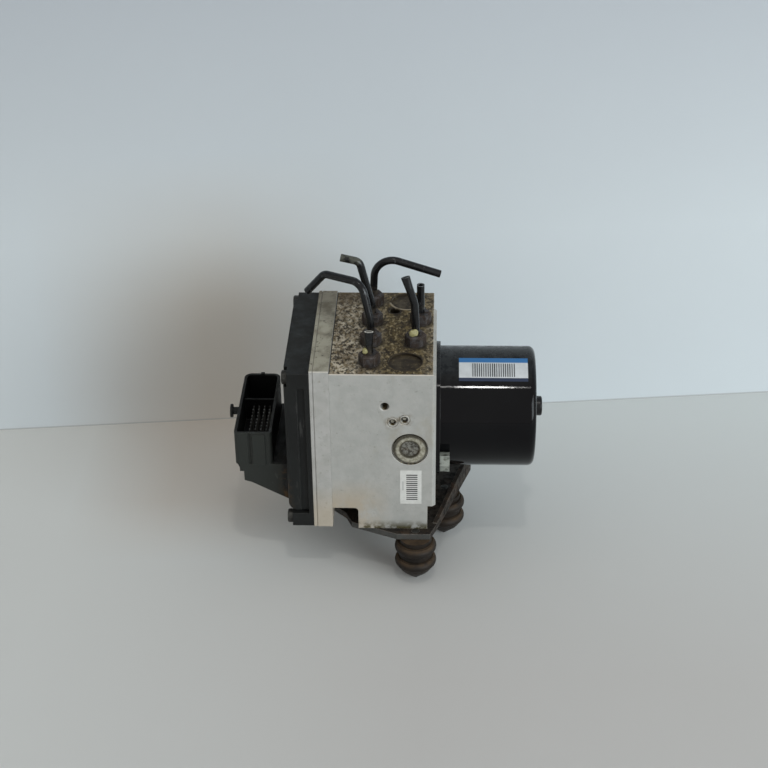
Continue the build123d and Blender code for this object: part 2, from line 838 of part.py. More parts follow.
# Cover seal: a square rubber cord that fills the groove.
with BuildPart() as cover_seal:
    with BuildSketch(Plane.YZ.offset(cover_right)):
        with Locations((block_front + seal_inset, block_bottom + cover_bulge_bottom - seal_inset)):
            Rectangle(
                housing_depth - 2 * seal_inset,
                cover_top - block_bottom - cover_bulge_bottom,
                align=(Align.MIN, Align.MIN),
            )
        chamfer(vertices(), length=lug_size)
        offset(amount=-seal_width, mode=Mode.SUBTRACT)
    extrude(amount=seal_depth)
cover_seal.part.label = "cover_seal"
export_step(cover_seal.part, "parts/cover_seal.step")

# Housing screws: pan heads on the corner pads, threaded into the block.
with BuildPart() as housing_screws:
    with BuildSketch(Plane.YZ.offset(cover_right)):
        with Locations(*housing_screw_points):
            Circle(housing_screw_head)
    extrude(amount=-housing_screw_head_height)
    with BuildSketch(Plane.YZ.offset(cover_right)):
        with Locations(*housing_screw_points):
            Circle(housing_screw_radius)
    extrude(amount=housing_screw_length)
    with BuildSketch(Plane.YZ.offset(cover_right - housing_screw_head_height)):
        with Locations(*housing_screw_points):
            RegularPolygon(screw_drive_radius, 6)
    extrude(amount=screw_drive_depth, mode=Mode.SUBTRACT)
housing_screws.part.label = "housing_screws"
export_step(housing_screws.part, "parts/housing_screws.step")

# ================================================================ controller cover and connector
# One black moulding: a shallow lid with a screw lug in each corner, and a connector shroud that stands
# beside it with its mouth upwards, joined by a sloping funnel that hides the connector's leads.
cover_height = cover_top - block_bottom
shroud_right = cover_left - shroud_gap
shroud_left = shroud_right - shroud_width
shroud_y = block_front + shroud_front
shroud_rear = shroud_y + shroud_length
shroud_low = block_bottom + shroud_bottom
shroud_high = block_bottom + shroud_mouth
shroud_inner_floor = shroud_low + shroud_floor
funnel_left = shroud_left + shroud_step_width
funnel_top_inner = shroud_low - funnel_wall
funnel_low = shroud_low - shroud_step_height - funnel_side_height
pin_top = shroud_high - pin_drop
pin_places = [
    (
        shroud_left + pin_row_inset + row * pin_row_pitch,
        shroud_y + pin_column_inset + column * pin_column_pitch,
    )
    for row in range(pin_rows)
    for column in range(pin_columns)
]
blade_places = [
    (
        shroud_left + pin_row_inset + row * blade_row_pitch,
        shroud_y + blade_column_inset + column * blade_column_pitch,
    )
    for row in range(blade_rows)
    for column in range(blade_columns)
]
lug_points = [
    (block_front, cover_top),
    (block_rear - lug_size, cover_top),
    (block_front, block_bottom + cover_bulge_bottom - seal_inset),
    (block_rear - lug_size, block_bottom + cover_bulge_bottom - seal_inset),
]
with BuildPart() as ecu_cover:
    # Flange against the housing.
    with BuildSketch(Plane.YZ.offset(cover_right)):
        with Locations((block_front, block_bottom + cover_bottom)):
            Rectangle(block_depth, cover_height - cover_bottom, align=(Align.MIN, Align.MIN))
    extrude(amount=-cover_flange)
    # Lid, with its lower edges rounded off.
    with BuildSketch(Plane.YZ.offset(cover_right)):
        with Locations((block_front, block_bottom + cover_bulge_bottom)):
            Rectangle(block_depth, cover_height - cover_bulge_bottom, align=(Align.MIN, Align.MIN))
    extrude(amount=-cover_thickness)
    outer_face = ecu_cover.faces().sort_by(Axis.X)[0]
    fillet(outer_face.edges().sort_by(Axis.Z)[0], radius=cover_lower_round)
    outer_face = ecu_cover.faces().sort_by(Axis.X)[0]
    fillet(outer_face.edges().filter_by(Axis.Z), radius=cover_round)
    # Upright channel in the front and rear faces, round at its top.
    for side in (1, -1):
        with BuildSketch(Plane.XZ.offset(-motor_y + side * block_depth / 2)):
            channel_x = cover_right - cover_flange - cover_channel_width / 2
            with Locations((channel_x, cover_top - cover_channel_drop)):
                SlotCenterPoint(
                    center=(0, -cover_height / 2),
                    point=(0, -cover_channel_width / 2),
                    height=cover_channel_width,
                )
        extrude(amount=-side * cover_channel_depth, mode=Mode.SUBTRACT)
    # Corner lugs: the upper pair is sunk into the lid's corners, the lower pair hangs below it.
    with BuildSketch(Plane.YZ.offset(cover_left)):
        with Locations(*lug_points):
            Rectangle(lug_size, lug_size, align=(Align.MIN, Align.MAX))
    extrude(amount=lug_recess, mode=Mode.SUBTRACT)
    with BuildSketch(Plane.YZ.offset(cover_left + lug_recess)):
        with Locations(*lug_points[2:]):
            Rectangle(lug_size, lug_size, align=(Align.MIN, Align.MAX))
    extrude(amount=cover_thickness - lug_recess)
    # Hollow inside, leaving the corners solid for the screws.
    with BuildSketch(Plane.YZ.offset(cover_left + cover_wall)):
        with Locations((block_front + cover_side_wall, block_bottom + cover_bulge_bottom + cover_wall)):
            Rectangle(
                block_depth - 2 * cover_side_wall,
                cover_height - cover_bulge_bottom - 2 * cover_wall,
                align=(Align.MIN, Align.MIN),
            )
        chamfer(vertices(), length=lug_size)
    extrude(amount=cover_thickness - cover_wall, mode=Mode.SUBTRACT)
    # Posts that hold the circuit board.
    with BuildSketch(Plane.YZ.offset(cover_left + cover_wall)):
        with Locations((motor_y, block_bottom + cover_height / 2)):
            with GridLocations(
                block_depth - 2 * post_side_inset,
                cover_height - cover_bulge_bottom - 2 * post_inset,
                2,
                2,
            ):
                Circle(post_radius)
    extrude(amount=board_standoff)
    # Connector shroud.
    with BuildSketch(Plane.XY.offset(shroud_low)):
        with Locations((shroud_left, shroud_y)):
            Rectangle(shroud_width, shroud_length, align=(Align.MIN, Align.MIN))
        fillet(vertices().group_by(Axis.Y)[-1], radius=shroud_rear_round)
        fillet(vertices().group_by(Axis.Y)[0], radius=shroud_front_round)
    extrude(amount=shroud_high - shroud_low)
    # Funnel below it, sloping down to the lid.
    funnel_spans = [
        (shroud_y, shroud_front_round, shroud_front_round),
        (shroud_y + shroud_front_round, 0.0, shroud_length - shroud_front_round - shroud_rear_round),
        (shroud_rear - shroud_rear_round, shroud_rear_round, shroud_rear_round),
    ]
    for y, corner, span in funnel_spans:
        with BuildSketch(Plane.XZ.offset(-y)):
            with BuildLine():
                Polyline(
                    (cover_left + cover_wall / 2, shroud_low),
                    (shroud_left + max(corner, funnel_edge), shroud_low),
                    (max(funnel_left - funnel_ledge, shroud_left + corner), shroud_low - shroud_step_height),
                    (funnel_left, shroud_low - shroud_step_height),
                    (funnel_left, funnel_low),
                    (funnel_left + funnel_flat, funnel_low - funnel_slant),
                    (cover_left + cover_wall / 2, block_bottom + funnel_foot),
                    close=True,
                )
            make_face()
        extrude(amount=-span)
    # Grooved and ribbed front wall.
    with BuildSketch(Plane.XY.offset(shroud_low)):
        with Locations((shroud_left + groove_offset + groove_width / 2 + rib_width / 2 + 0.6, shroud_y)):
            SlotOverall(rib_width, 2 * rib_height)
    extrude(amount=shroud_high - shroud_low - 1.0)
    with BuildSketch(Plane.XY.offset(shroud_low)):
        with Locations((shroud_left + groove_offset, shroud_y)):
            Rectangle(groove_width, 2 * rib_height)
    extrude(amount=shroud_high - shroud_low, mode=Mode.SUBTRACT)
    # Coding key on the rear rim.
    with BuildSketch(Plane.XY.offset(shroud_high)):
        with Locations((shroud_left + shroud_width / 2, shroud_rear - shroud_wall / 2)):
            Rectangle(2.5, shroud_wall)
    extrude(amount=1.0)
    # Plug's pocket, and the divider between the signal pins and the power blades.
    with BuildSketch(Plane.XY.offset(shroud_inner_floor)):
        with Locations((shroud_left + shroud_wall, shroud_y + shroud_wall)):
            Rectangle(
                shroud_width - 2 * shroud_wall, shroud_length - 2 * shroud_wall, align=(Align.MIN, Align.MIN)
            )
        fillet(vertices().group_by(Axis.Y)[-1], radius=shroud_rear_round - shroud_wall)
    extrude(amount=shroud_high - shroud_inner_floor, mode=Mode.SUBTRACT)
    with BuildSketch(Plane.XY.offset(shroud_inner_floor)):
        with Locations((shroud_left + shroud_width / 2, shroud_y + divider_place)):
            Rectangle(shroud_width - shroud_wall, divider_thickness)
    extrude(amount=shroud_high - shroud_inner_floor - divider_drop)
    # Hollow of the funnel, open into the lid.
    with BuildSketch(Plane.XZ.offset(-shroud_y - funnel_wall)):
        with BuildLine():
            Polyline(
                (cover_left + cover_wall, funnel_top_inner),
                (funnel_left + funnel_wall, funnel_top_inner),
                (funnel_left + funnel_wall, funnel_low + funnel_wall - funnel_slant / 2),
                (funnel_left + funnel_flat, funnel_low + funnel_wall - funnel_slant),
                (cover_left + cover_wall, block_bottom + funnel_foot + cover_wall),
                close=True,
            )
        make_face()
    extrude(amount=-(shroud_length - 2 * funnel_wall), mode=Mode.SUBTRACT)
    # Holes for the connector's pins and blades.
    with BuildSketch(Plane.XY.offset(funnel_top_inner)):
        with Locations(*pin_places):
            Rectangle(pin_size + 2 * slip_clearance, pin_size + 2 * slip_clearance)
        with Locations(*blade_places):
            Rectangle(pin_size + 2 * slip_clearance, blade_width + 2 * slip_clearance)
    extrude(amount=shroud_inner_floor - funnel_top_inner, mode=Mode.SUBTRACT)
    # Pivot for the plug's lever on the outer wall.
    pivot_centre = (shroud_y + pivot_place, shroud_high - pivot_drop)
    with BuildSketch(Plane.YZ.offset(shroud_left)):
        with Locations(pivot_centre):
            Circle(pivot_stem_radius)
    extrude(amount=-pivot_reach)
    with BuildSketch(Plane.YZ.offset(shroud_left - pivot_reach)):
        with Locations(pivot_centre):
            Circle(pivot_radius)
    extrude(amount=pivot_disc)
    # Screw holes through the lugs.
    with BuildSketch(Plane.YZ.offset(cover_left)):
        with Locations(*cover_screw_points):
            Circle(cover_screw_radius + slip_clearance)
    extrude(amount=cover_thickness, mode=Mode.SUBTRACT)
ecu_cover.part.label = "ecu_cover"
export_step(ecu_cover.part, "parts/ecu_cover.step")

# Cover screws: round heads on the lugs, threaded into the housing.
cover_screw_seat = cover_left + lug_recess
with BuildPart() as cover_screws:
    with BuildSketch(Plane.YZ.offset(cover_screw_seat)):
        with Locations(*cover_screw_points):
            Circle(cover_screw_head)
    extrude(amount=-cover_screw_head_height)
    head_rims = cover_screws.edges().filter_by(GeomType.CIRCLE).group_by(Axis.X)[0]
    fillet(head_rims, radius=1.0)
    with BuildSketch(Plane.YZ.offset(cover_screw_seat)):
        with Locations(*cover_screw_points):
            Circle(cover_screw_radius)
    extrude(amount=cover_screw_length)
    with BuildSketch(Plane.YZ.offset(cover_screw_seat - cover_screw_head_height)):
        with Locations(*cover_screw_points):
            RegularPolygon(screw_drive_radius, 6)
    extrude(amount=screw_drive_depth, mode=Mode.SUBTRACT)
cover_screws.part.label = "cover_screws"
export_step(cover_screws.part, "parts/cover_screws.step")

# ================================================================ circuit board
board_low = block_bottom + cover_bulge_bottom + cover_wall + board_margin
board_high = cover_top - cover_wall - board_margin
board_depth = block_depth - 2 * (cover_side_wall + board_margin)
with BuildPart() as circuit_board:
    with BuildSketch(Plane.YZ.offset(board_left)):
        with Locations((motor_y, (board_low + board_high) / 2)):
            Rectangle(board_depth, board_high - board_low)
        chamfer(vertices(), length=board_corner)
    extrude(amount=board_thickness)
circuit_board.part.label = "circuit_board"
export_step(circuit_board.part, "parts/circuit_board.step")

# Board components: processor, three driver chips and a row of capacitors on the cover's side.
with BuildPart() as board_components:
    with BuildSketch(Plane.YZ.offset(board_left)):
        with Locations((motor_y, block_bottom + cover_height / 2)):
            Rectangle(chip_size, chip_size)
    extrude(amount=-chip_height)
    with BuildSketch(Plane.YZ.offset(board_left)):
        with Locations((motor_y, board_high - driver_width)):
            with GridLocations(1.6 * driver_length, 0, 3, 1):
                Rectangle(driver_length, driver_width)
    extrude(amount=-chip_height)
    with BuildSketch(Plane.YZ.offset(board_left)):
        with Locations((motor_y, block_bottom + cover_height / 2)):
            with GridLocations(2 * chip_size, 3 * capacitor_radius, 2, 2):
                Circle(capacitor_radius)
    extrude(amount=-capacitor_height)
board_components.part.label = "board_components"
export_step(board_components.part, "parts/board_components.step")

# Connector pins: each stands in the shroud, passes its floor and turns towards the board.
with BuildPart() as connector_pins:
    for places, width, drop in (
        (pin_places, pin_size, 0.0),
        (blade_places, blade_width, blade_drop),
    ):
        top = pin_top - drop
        for x, y in places:
            row = (x - shroud_left - pin_row_inset) / pin_row_pitch
            leg_z = funnel_low + leg_inset + row * leg_pitch
            with BuildSketch(Plane.XZ.offset(-y - width / 2)):
                with BuildLine():
                    Polyline(
                        (x - pin_size / 2, top),
                        (x - pin_size / 2, leg_z - pin_size / 2),
                        (board_left, leg_z - pin_size / 2),
                        (board_left, leg_z + pin_size / 2),
                        (x + pin_size / 2, leg_z + pin_size / 2),
                        (x + pin_size / 2, top),
                        close=True,
                    )
                make_face()
            extrude(amount=width)
connector_pins.part.label = "connector_pins"
export_step(connector_pins.part, "parts/connector_pins.step")

# ================================================================ motor case
# Motor can: one drawn steel cup with a rim and two bolt ears against the block.
can_end = block_right + can_length
can_floor = can_end - can_wall
with BuildPart() as motor_can:
    with BuildSketch(right_face):
        with Locations((motor_y, motor_z)):
            Circle(can_radius)
    extrude(amount=can_length)
    fillet(motor_can.edges().filter_by(GeomType.CIRCLE).sort_by(Axis.X)[-1], radius=can_end_round)
    for point in motor_bolt_points:
        with BuildSketch(right_face):
            with Locations((motor_y, motor_z)):
                Circle(rim_radius)
            with Locations(point):
                Circle(motor_ear_radius)
            make_hull()
        extrude(amount=rim_thickness)
    with BuildSketch(right_face):
        with Locations((motor_y, motor_z)):
            Circle(can_radius - can_wall)
    extrude(amount=can_length - can_wall, mode=Mode.SUBTRACT)
    with BuildSketch(Plane.YZ.offset(can_floor - bearing_width)):
        with Locations((motor_y, motor_z)):
            Circle(hub_radius)
            Circle(bearing_radius + seat_clearance, mode=Mode.SUBTRACT)
    extrude(amount=bearing_width)
    with BuildSketch(Plane.YZ.offset(can_floor)):
        with Locations((motor_y, motor_z)):
            Circle(vent_neck_radius + seat_clearance)
    extrude(amount=can_wall, mode=Mode.SUBTRACT)
    with BuildSketch(right_face):
        with Locations(*motor_bolt_points):
            Circle(motor_bolt_radius + slip_clearance)
    extrude(amount=rim_thickness, mode=Mode.SUBTRACT)
motor_can.part.label = "motor_can"
export_step(motor_can.part, "parts/motor_can.step")

# End plate: closes the can and carries the bearing and the shaft seal in its hub.
hub_left = block_right - hub_depth
hub_right = block_right + hub_height
with BuildPart() as motor_end_plate:
    with BuildSketch(right_face):
        with Locations((motor_y, motor_z)):
            Circle(can_radius - can_wall - seat_clearance)
    extrude(amount=plate_thickness)
    with BuildSketch(Plane.YZ.offset(hub_left)):
        with Locations((motor_y, motor_z)):
            Circle(hub_radius)
    extrude(amount=hub_right - hub_left)
    with BuildSketch(Plane.YZ.offset(hub_left)):
        with Locations((motor_y, motor_z)):
            Circle(seal_radius + seat_clearance)
    extrude(amount=hub_shoulder, mode=Mode.SUBTRACT)
    with BuildSketch(Plane.YZ.offset(hub_left + hub_shoulder)):
        with Locations((motor_y, motor_z)):
            Circle(bearing_radius + seat_clearance)
    extrude(amount=hub_right - hub_left - hub_shoulder, mode=Mode.SUBTRACT)
motor_end_plate.part.label = "motor_end_plate"
export_step(motor_end_plate.part, "parts/motor_end_plate.step")

# Shaft seal: a rubber lip ring in the hub's shoulder.
with BuildPart() as shaft_seal:
    with BuildSketch(Plane.YZ.offset(hub_left)):
        with Locations((motor_y, motor_z)):
            Circle(seal_radius)
            Circle(shaft_radius + running_clearance, mode=Mode.SUBTRACT)
    extrude(amount=hub_shoulder)
shaft_seal.part.label = "shaft_seal"
export_step(shaft_seal.part, "parts/shaft_seal.step")

# Motor seal: a square rubber ring between the end plate and the block.
with BuildPart() as motor_seal:
    with BuildSketch(right_face):
        with Locations((motor_y, motor_z)):
            Circle(motor_seal_radius + motor_seal_width - seat_clearance)
            Circle(motor_seal_radius + seat_clearance, mode=Mode.SUBTRACT)
    extrude(amount=-motor_seal_width)
motor_seal.part.label = "motor_seal"
export_step(motor_seal.part, "parts/motor_seal.step")

# Bearings: one in the end plate's hub, one in the can's floor.
front_bearing_start = hub_left + hub_shoulder
rear_bearing_start = can_floor - bearing_width
with BuildPart() as motor_bearings:
    for start in (front_bearing_start, rear_bearing_start):
        with BuildSketch(Plane.YZ.offset(start)):
            with Locations((motor_y, motor_z)):
                Circle(bearing_radius)
                Circle(shaft_radius + seat_clearance, mode=Mode.SUBTRACT)
        extrude(amount=bearing_width)
        with BuildSketch(Plane.YZ.offset(start)):
            with Locations((motor_y, motor_z)):
                Circle(bearing_radius - 1.6)
                Circle(shaft_radius + 1.8, mode=Mode.SUBTRACT)
        extrude(amount=0.6, mode=Mode.SUBTRACT)
motor_bearings.part.label = "motor_bearings"
export_step(motor_bearings.part, "parts/motor_bearings.step")

# Motor bolts: hexagon heads on the can's ears, threaded into the block.
with BuildPart() as motor_bolts:
    with BuildSketch(right_face.offset(rim_thickness)):
        with Locations(*motor_bolt_points):
            RegularPolygon(motor_bolt_flats / 2, 6, major_radius=False, rotation=motor_bolt_angles[0] - 30)
    extrude(amount=motor_bolt_head)
    with BuildSketch(right_face.offset(rim_thickness)):
        with Locations(*motor_bolt_points):
            Circle(motor_bolt_radius)
    extrude(amount=-(rim_thickness + motor_bolt_depth))
motor_bolts.part.label = "motor_bolts"
export_step(motor_bolts.part, "parts/motor_bolts.step")

# Vent plug: a rubber mushroom in the hole in the can's end.
with BuildPart() as motor_vent_plug:
    with BuildSketch(Plane.YZ.offset(can_floor)):
        with Locations((motor_y, motor_z)):
            Circle(vent_neck_radius)
    extrude(amount=can_wall + vent_neck)
    with BuildSketch(Plane.YZ.offset(can_end + vent_neck)):
        with Locations((motor_y, motor_z)):
            Circle(vent_radius)
    extrude(amount=vent_cap)
    fillet(motor_vent_plug.edges().filter_by(GeomType.CIRCLE).sort_by(Axis.X)[-1], radius=1.2)
motor_vent_plug.part.label = "motor_vent_plug"
export_step(motor_vent_plug.part, "parts/motor_vent_plug.step")

# Magnets: arc segments bonded inside the can.
magnet_outer = can_radius - can_wall - seat_clearance
magnet_inner = magnet_outer - magnet_thickness
core_left = block_right + core_start
core_right = rear_bearing_start - rotor_end_gap - overhang
with BuildPart() as motor_magnets:
    with BuildSketch(Plane.YZ.offset(core_left - magnet_overlap)):
        with Locations((motor_y, motor_z)):
            Circle(magnet_outer)
            Circle(magnet_inner, mode=Mode.SUBTRACT)
            with PolarLocations(magnet_inner, magnet_count, start_angle=180 / magnet_count):
                Rectangle(4 * magnet_thickness, magnet_gap, mode=Mode.SUBTRACT)
    extrude(amount=core_right - core_left + 2 * magnet_overlap)
motor_magnets.part.label = "motor_magnets"
export_step(motor_magnets.part, "parts/motor_magnets.step")

# Brush holder: a moulded ring plate on the end plate's side with a box for each brush.
brush_plate_left = block_right + brush_plate_start
brush_plate_right = brush_plate_left + brush_plate_thickness
brush_x = brush_plate_right + brush_inset
brush_y = commutator_radius + running_clearance
with BuildPart() as brush_holder:
    with BuildSketch(Plane.YZ.offset(brush_plate_left)):
        with Locations((motor_y, motor_z)):
            Circle(can_radius - can_wall - seat_clearance)
            Circle(hub_radius + 0.5, mode=Mode.SUBTRACT)
    extrude(amount=brush_plate_thickness)
    for side in (1, -1):
        box_start = brush_y + brush_box_gap
        box_mouth = Plane.XZ.offset(-motor_y + side * box_start)
        with BuildSketch(box_mouth):
            with Locations((brush_plate_right, motor_z)):
                Rectangle(
                    2 * brush_inset + brush_width,
                    brush_height + 2 * brush_box_wall,
                    align=(Align.MIN, Align.CENTER),
                )
        extrude(amount=side * brush_box_length)
        with BuildSketch(box_mouth):
            with Locations((brush_x + brush_width / 2, motor_z)):
                Rectangle(brush_width + 2 * slip_clearance, brush_height + 2 * slip_clearance)
        extrude(amount=side * brush_box_length, mode=Mode.SUBTRACT)
brush_holder.part.label = "brush_holder"
export_step(brush_holder.part, "parts/brush_holder.step")

# Carbon brushes, one on each side of the commutator.
for name, side in (("front", 1), ("rear", -1)):
    with BuildPart() as brush:
        with BuildSketch(Plane.XZ.offset(-motor_y + side * brush_y)):
            with Locations((brush_x + brush_width / 2, motor_z)):
                Rectangle(brush_width, brush_height)
        extrude(amount=side * brush_length)
    brush.part.label = f"brush_{name}"
    export_step(brush.part, f"parts/brush_{name}.step")

# ================================================================ rotor
# Motor shaft: end journal, eccentric, thrust collar and the long shaft through both bearings.
ring_left = pump_x - ring_width / 2
with BuildPart() as motor_shaft:
    with BuildSketch(Plane.YZ.offset(chamber_left - journal_length)):
        with Locations((motor_y, motor_z)):
            Circle(journal_radius)
    extrude(amount=journal_length + collar_thickness)
    with BuildSketch(Plane.YZ.offset(ring_left - slip_clearance)):
        with Locations((motor_y, motor_z + eccentricity)):
            Circle(eccentric_radius)
    extrude(amount=ring_width + 2 * slip_clearance)
    with BuildSketch(Plane.YZ.offset(ring_left + ring_width + slip_clearance)):
        with Locations((motor_y, motor_z)):
            Circle(collar_radius)
    extrude(amount=collar_thickness)
    with BuildSketch(Plane.YZ.offset(ring_left + ring_width + slip_clearance)):
        with Locations((motor_y, motor_z)):
            Circle(shaft_radius)
    extrude(amount=rear_bearing_start + bearing_width - slip_clearance - ring_left - ring_width)
motor_shaft.part.label = "motor_shaft"
export_step(motor_shaft.part, "parts/motor_shaft.step")

# Eccentric ring: the outer ring that pushes both pistons and doesn't turn.
with BuildPart() as eccentric_ring:
    with BuildSketch(Plane.YZ.offset(ring_left)):
        with Locations((motor_y, motor_z + eccentricity)):
            Circle(ring_radius)
            Circle(eccentric_radius + running_clearance, mode=Mode.SUBTRACT)
    extrude(amount=ring_width)
eccentric_ring.part.label = "eccentric_ring"
export_step(eccentric_ring.part, "parts/eccentric_ring.step")

# Armature core: slotted steel laminations.
core_radius = magnet_inner - air_gap
with BuildPart() as armature_core:
    with BuildSketch(Plane.YZ.offset(core_left)):
        with Locations((motor_y, motor_z)):
            Circle(core_radius)
            Circle(shaft_radius, mode=Mode.SUBTRACT)
            with PolarLocations(slot_bottom, slot_count):
                Rectangle(
                    core_radius - slot_bottom + 1,
                    slot_width,
                    align=(Align.MIN, Align.CENTER),
                    mode=Mode.SUBTRACT,
                )
    extrude(amount=core_right - core_left)
armature_core.part.label = "armature_core"
export_step(armature_core.part, "parts/armature_core.step")

# Armature windings: copper in the slots, joined by the end turns on both sides.
winding_radius = core_radius - overhang_setback
with BuildPart() as armature_windings:
    with BuildSketch(Plane.YZ.offset(core_left)):
        with Locations((motor_y, motor_z)):
            with PolarLocations(slot_bottom, slot_count):
                Rectangle(winding_radius - slot_bottom, slot_width, align=(Align.MIN, Align.CENTER))
    extrude(amount=core_right - core_left)
    for start in (core_left - overhang, core_right):
        with BuildSketch(Plane.YZ.offset(start)):
            with Locations((motor_y, motor_z)):
                Circle(winding_radius)
                Circle(overhang_inner, mode=Mode.SUBTRACT)
        extrude(amount=overhang)
armature_windings.part.label = "armature_windings"
export_step(armature_windings.part, "parts/armature_windings.step")

# Commutator: copper bars on the shaft with slots between them.
with BuildPart() as commutator:
    with BuildSketch(Plane.YZ.offset(block_right + commutator_start)):
        with Locations((motor_y, motor_z)):
            Circle(commutator_radius)
            Circle(shaft_radius, mode=Mode.SUBTRACT)
            with PolarLocations(commutator_radius - 1, commutator_slots):
                Rectangle(2, commutator_slot_width, align=(Align.MIN, Align.CENTER), mode=Mode.SUBTRACT)
    extrude(amount=commutator_length)
commutator.part.label = "commutator"
export_step(commutator.part, "parts/commutator.step")

# ================================================================ bracket and rubber feet
# Bracket: a pressed steel plate under the block with a tapering lip along its right edge.
bracket_front_y = block_front - bracket_overhang
bracket_outline = [
    (block_left + nose_left_inset, bracket_front_y),
    (block_left + nose_right_inset, bracket_front_y),
    (block_right + lip_front_reach, block_front + lip_front_place),
    (block_right + lip_rear_reach, block_rear - lip_rear_place),
    (block_right + tail_reach, block_rear - tail_place),
    (block_left + tail_left_inset, block_rear - bracket_rear_place),
    (block_left, block_rear - bracket_rear_place),
    (block_left - wing_reach, block_rear - wing_rear_place),
    (block_left - wing_reach, block_front + wing_front_place),
    (block_left + shoulder_inset, block_front + shoulder_place),
    (block_left + neck_inset, block_front + neck_place),
]
lip_start = bracket_outline[2]
lip_finish = bracket_outline[3]
with BuildPart() as mounting_bracket:
    with BuildSketch(bottom_face):
        with BuildLine():
            Polyline(*bracket_outline, close=True)
        make_face()
        fillet(vertices().sort_by(Axis.X)[-1], radius=bracket_corner)
        fillet(vertices().sort_by(Axis.Y)[-3:], radius=bracket_corner)
    extrude(amount=-bracket_thickness)
    lip_run = Vector(*lip_finish) - Vector(*lip_start)
    lip_direction = lip_run.normalized()
    lip_plane = Plane(
        origin=(*lip_start, block_bottom), x_dir=lip_direction, z_dir=lip_direction.cross(Vector(0, 0, 1))
    )
    lip_top_length = lip_run.length - bracket_corner
    with BuildSketch(lip_plane):
        with BuildLine():
            Polyline(
                (0, -bracket_thickness),
                (0, 0.6),
                (lip_top_length - bracket_corner, lip_height),
                (lip_top_length, lip_height - 2.0),
                (lip_top_length, -bracket_thickness),
                close=True,
            )
        make_face()
    extrude(amount=-lip_thickness)
    with BuildSketch(bottom_face):
        with Locations(*foot_points):
            Circle(stud_radius + seat_clearance)
        with Locations(*bracket_bolt_points):
            Circle(bracket_bolt_radius + slip_clearance)
    extrude(amount=-bracket_thickness, mode=Mode.SUBTRACT)
mounting_bracket.part.label = "mounting_bracket"
export_step(mounting_bracket.part, "parts/mounting_bracket.step")

# Foot studs: steel pins riveted into the bracket that the rubber feet are moulded on.
with BuildPart() as foot_studs:
    with BuildSketch(bottom_face):
        with Locations(*foot_points):
            Circle(stud_radius)
    extrude(amount=-stud_length)
foot_studs.part.label = "foot_studs"
export_step(foot_studs.part, "parts/foot_studs.step")

# Rubber feet: two thick rings with a neck between them and a blunt pointed end below.
upper_ring_low = foot_height - foot_collar - foot_ring
lower_ring_high = upper_ring_low - foot_neck
lower_ring_low = lower_ring_high - foot_ring
with BuildPart() as rubber_feet:
    for x, y in foot_points:
        for low, height, radius in (
            (upper_ring_low + foot_ring, foot_collar, foot_collar_radius),
            (lower_ring_high, foot_neck, foot_neck_radius),
        ):
            with BuildSketch(Plane.XY.offset(low)):
                with Locations((x, y)):
                    Circle(radius)
            extrude(amount=height)
        for low in (upper_ring_low, lower_ring_low):
            with BuildSketch(Plane((x, y, low), x_dir=(1, 0, 0), z_dir=(0, -1, 0))):
                with Locations((0, foot_ring / 2)):
                    with Locations((0, 0)):
                        Rectangle(foot_radius - 2, foot_ring, align=(Align.MIN, Align.CENTER))
                    with Locations((foot_radius - 2 - foot_round, 0)):
                        SlotOverall(2 * (2 + foot_round), foot_ring - 0.01)
            revolve(axis=Axis((x, y, 0), (0, 0, 1)))
        with BuildSketch(Plane((x, y, 0), x_dir=(1, 0, 0), z_dir=(0, -1, 0))):
            with BuildLine():
                Polyline(
                    (0, lower_ring_low),
                    (foot_cone_radius, lower_ring_low),
                    (foot_cone_radius - 2.2, foot_cone - 3.4),
                    (foot_tip_radius, 0),
                    (0, 0),
                    close=True,
                )
            make_face()
        revolve(axis=Axis((x, y, 0), (0, 0, 1)))
        with BuildSketch(Plane.XY.offset(foot_height)):
            with Locations((x, y)):
                Circle(stud_radius + seat_clearance)
        extrude(amount=-(stud_length - bracket_thickness + slip_clearance), mode=Mode.SUBTRACT)
rubber_feet.part.label = "rubber_feet"
export_step(rubber_feet.part, "parts/rubber_feet.step")

# Bracket bolts: hexagon heads under the plate, threaded up into the block.
bracket_low = block_bottom - bracket_thickness
with BuildPart() as bracket_bolts:
    with BuildSketch(Plane.XY.offset(bracket_low)):
        with Locations(*bracket_bolt_points):
            RegularPolygon(bracket_bolt_flats / 2, 6, major_radius=False)
    extrude(amount=-bracket_bolt_head)
    with BuildSketch(Plane.XY.offset(bracket_low)):
        with Locations(*bracket_bolt_points):
            Circle(bracket_bolt_radius)
    extrude(amount=bracket_thickness + bracket_bolt_depth)
bracket_bolts.part.label = "bracket_bolts"
export_step(bracket_bolts.part, "parts/bracket_bolts.step")

# ================================================================ pipe nuts and brake pipes
# Pipe nuts: threaded shanks in the ports with hexagon heads above the block.
with BuildPart() as pipe_nuts:
    with BuildSketch(top_face):
        with Locations(*port_points):
            Circle(port_radius - thread_clearance)
    extrude(amount=-pipe_seat_depth)
    with BuildSketch(top_face):
        with Locations(*port_points):
            Circle(port_radius + 1.0)
    extrude(amount=nut_collar)
    with BuildSketch(top_face.offset(nut_collar)):
        with Locations(*port_points):
            RegularPolygon(nut_flats / 2, 6, major_radius=False)
    extrude(amount=nut_height)
    nut_tops = pipe_nuts.faces().filter_by(Axis.Z).group_by(Axis.Z)[-1]
    chamfer(nut_tops.edges(), length=nut_chamfer)
    with BuildSketch(top_face.offset(-pipe_seat_depth)):
        with Locations(*port_points):
            Circle(pipe_radius + slip_clearance)
    extrude(amount=pipe_seat_depth + nut_height + nut_collar, mode=Mode.SUBTRACT)
pipe_nuts.part.label = "pipe_nuts"
export_step(pipe_nuts.part, "parts/pipe_nuts.step")

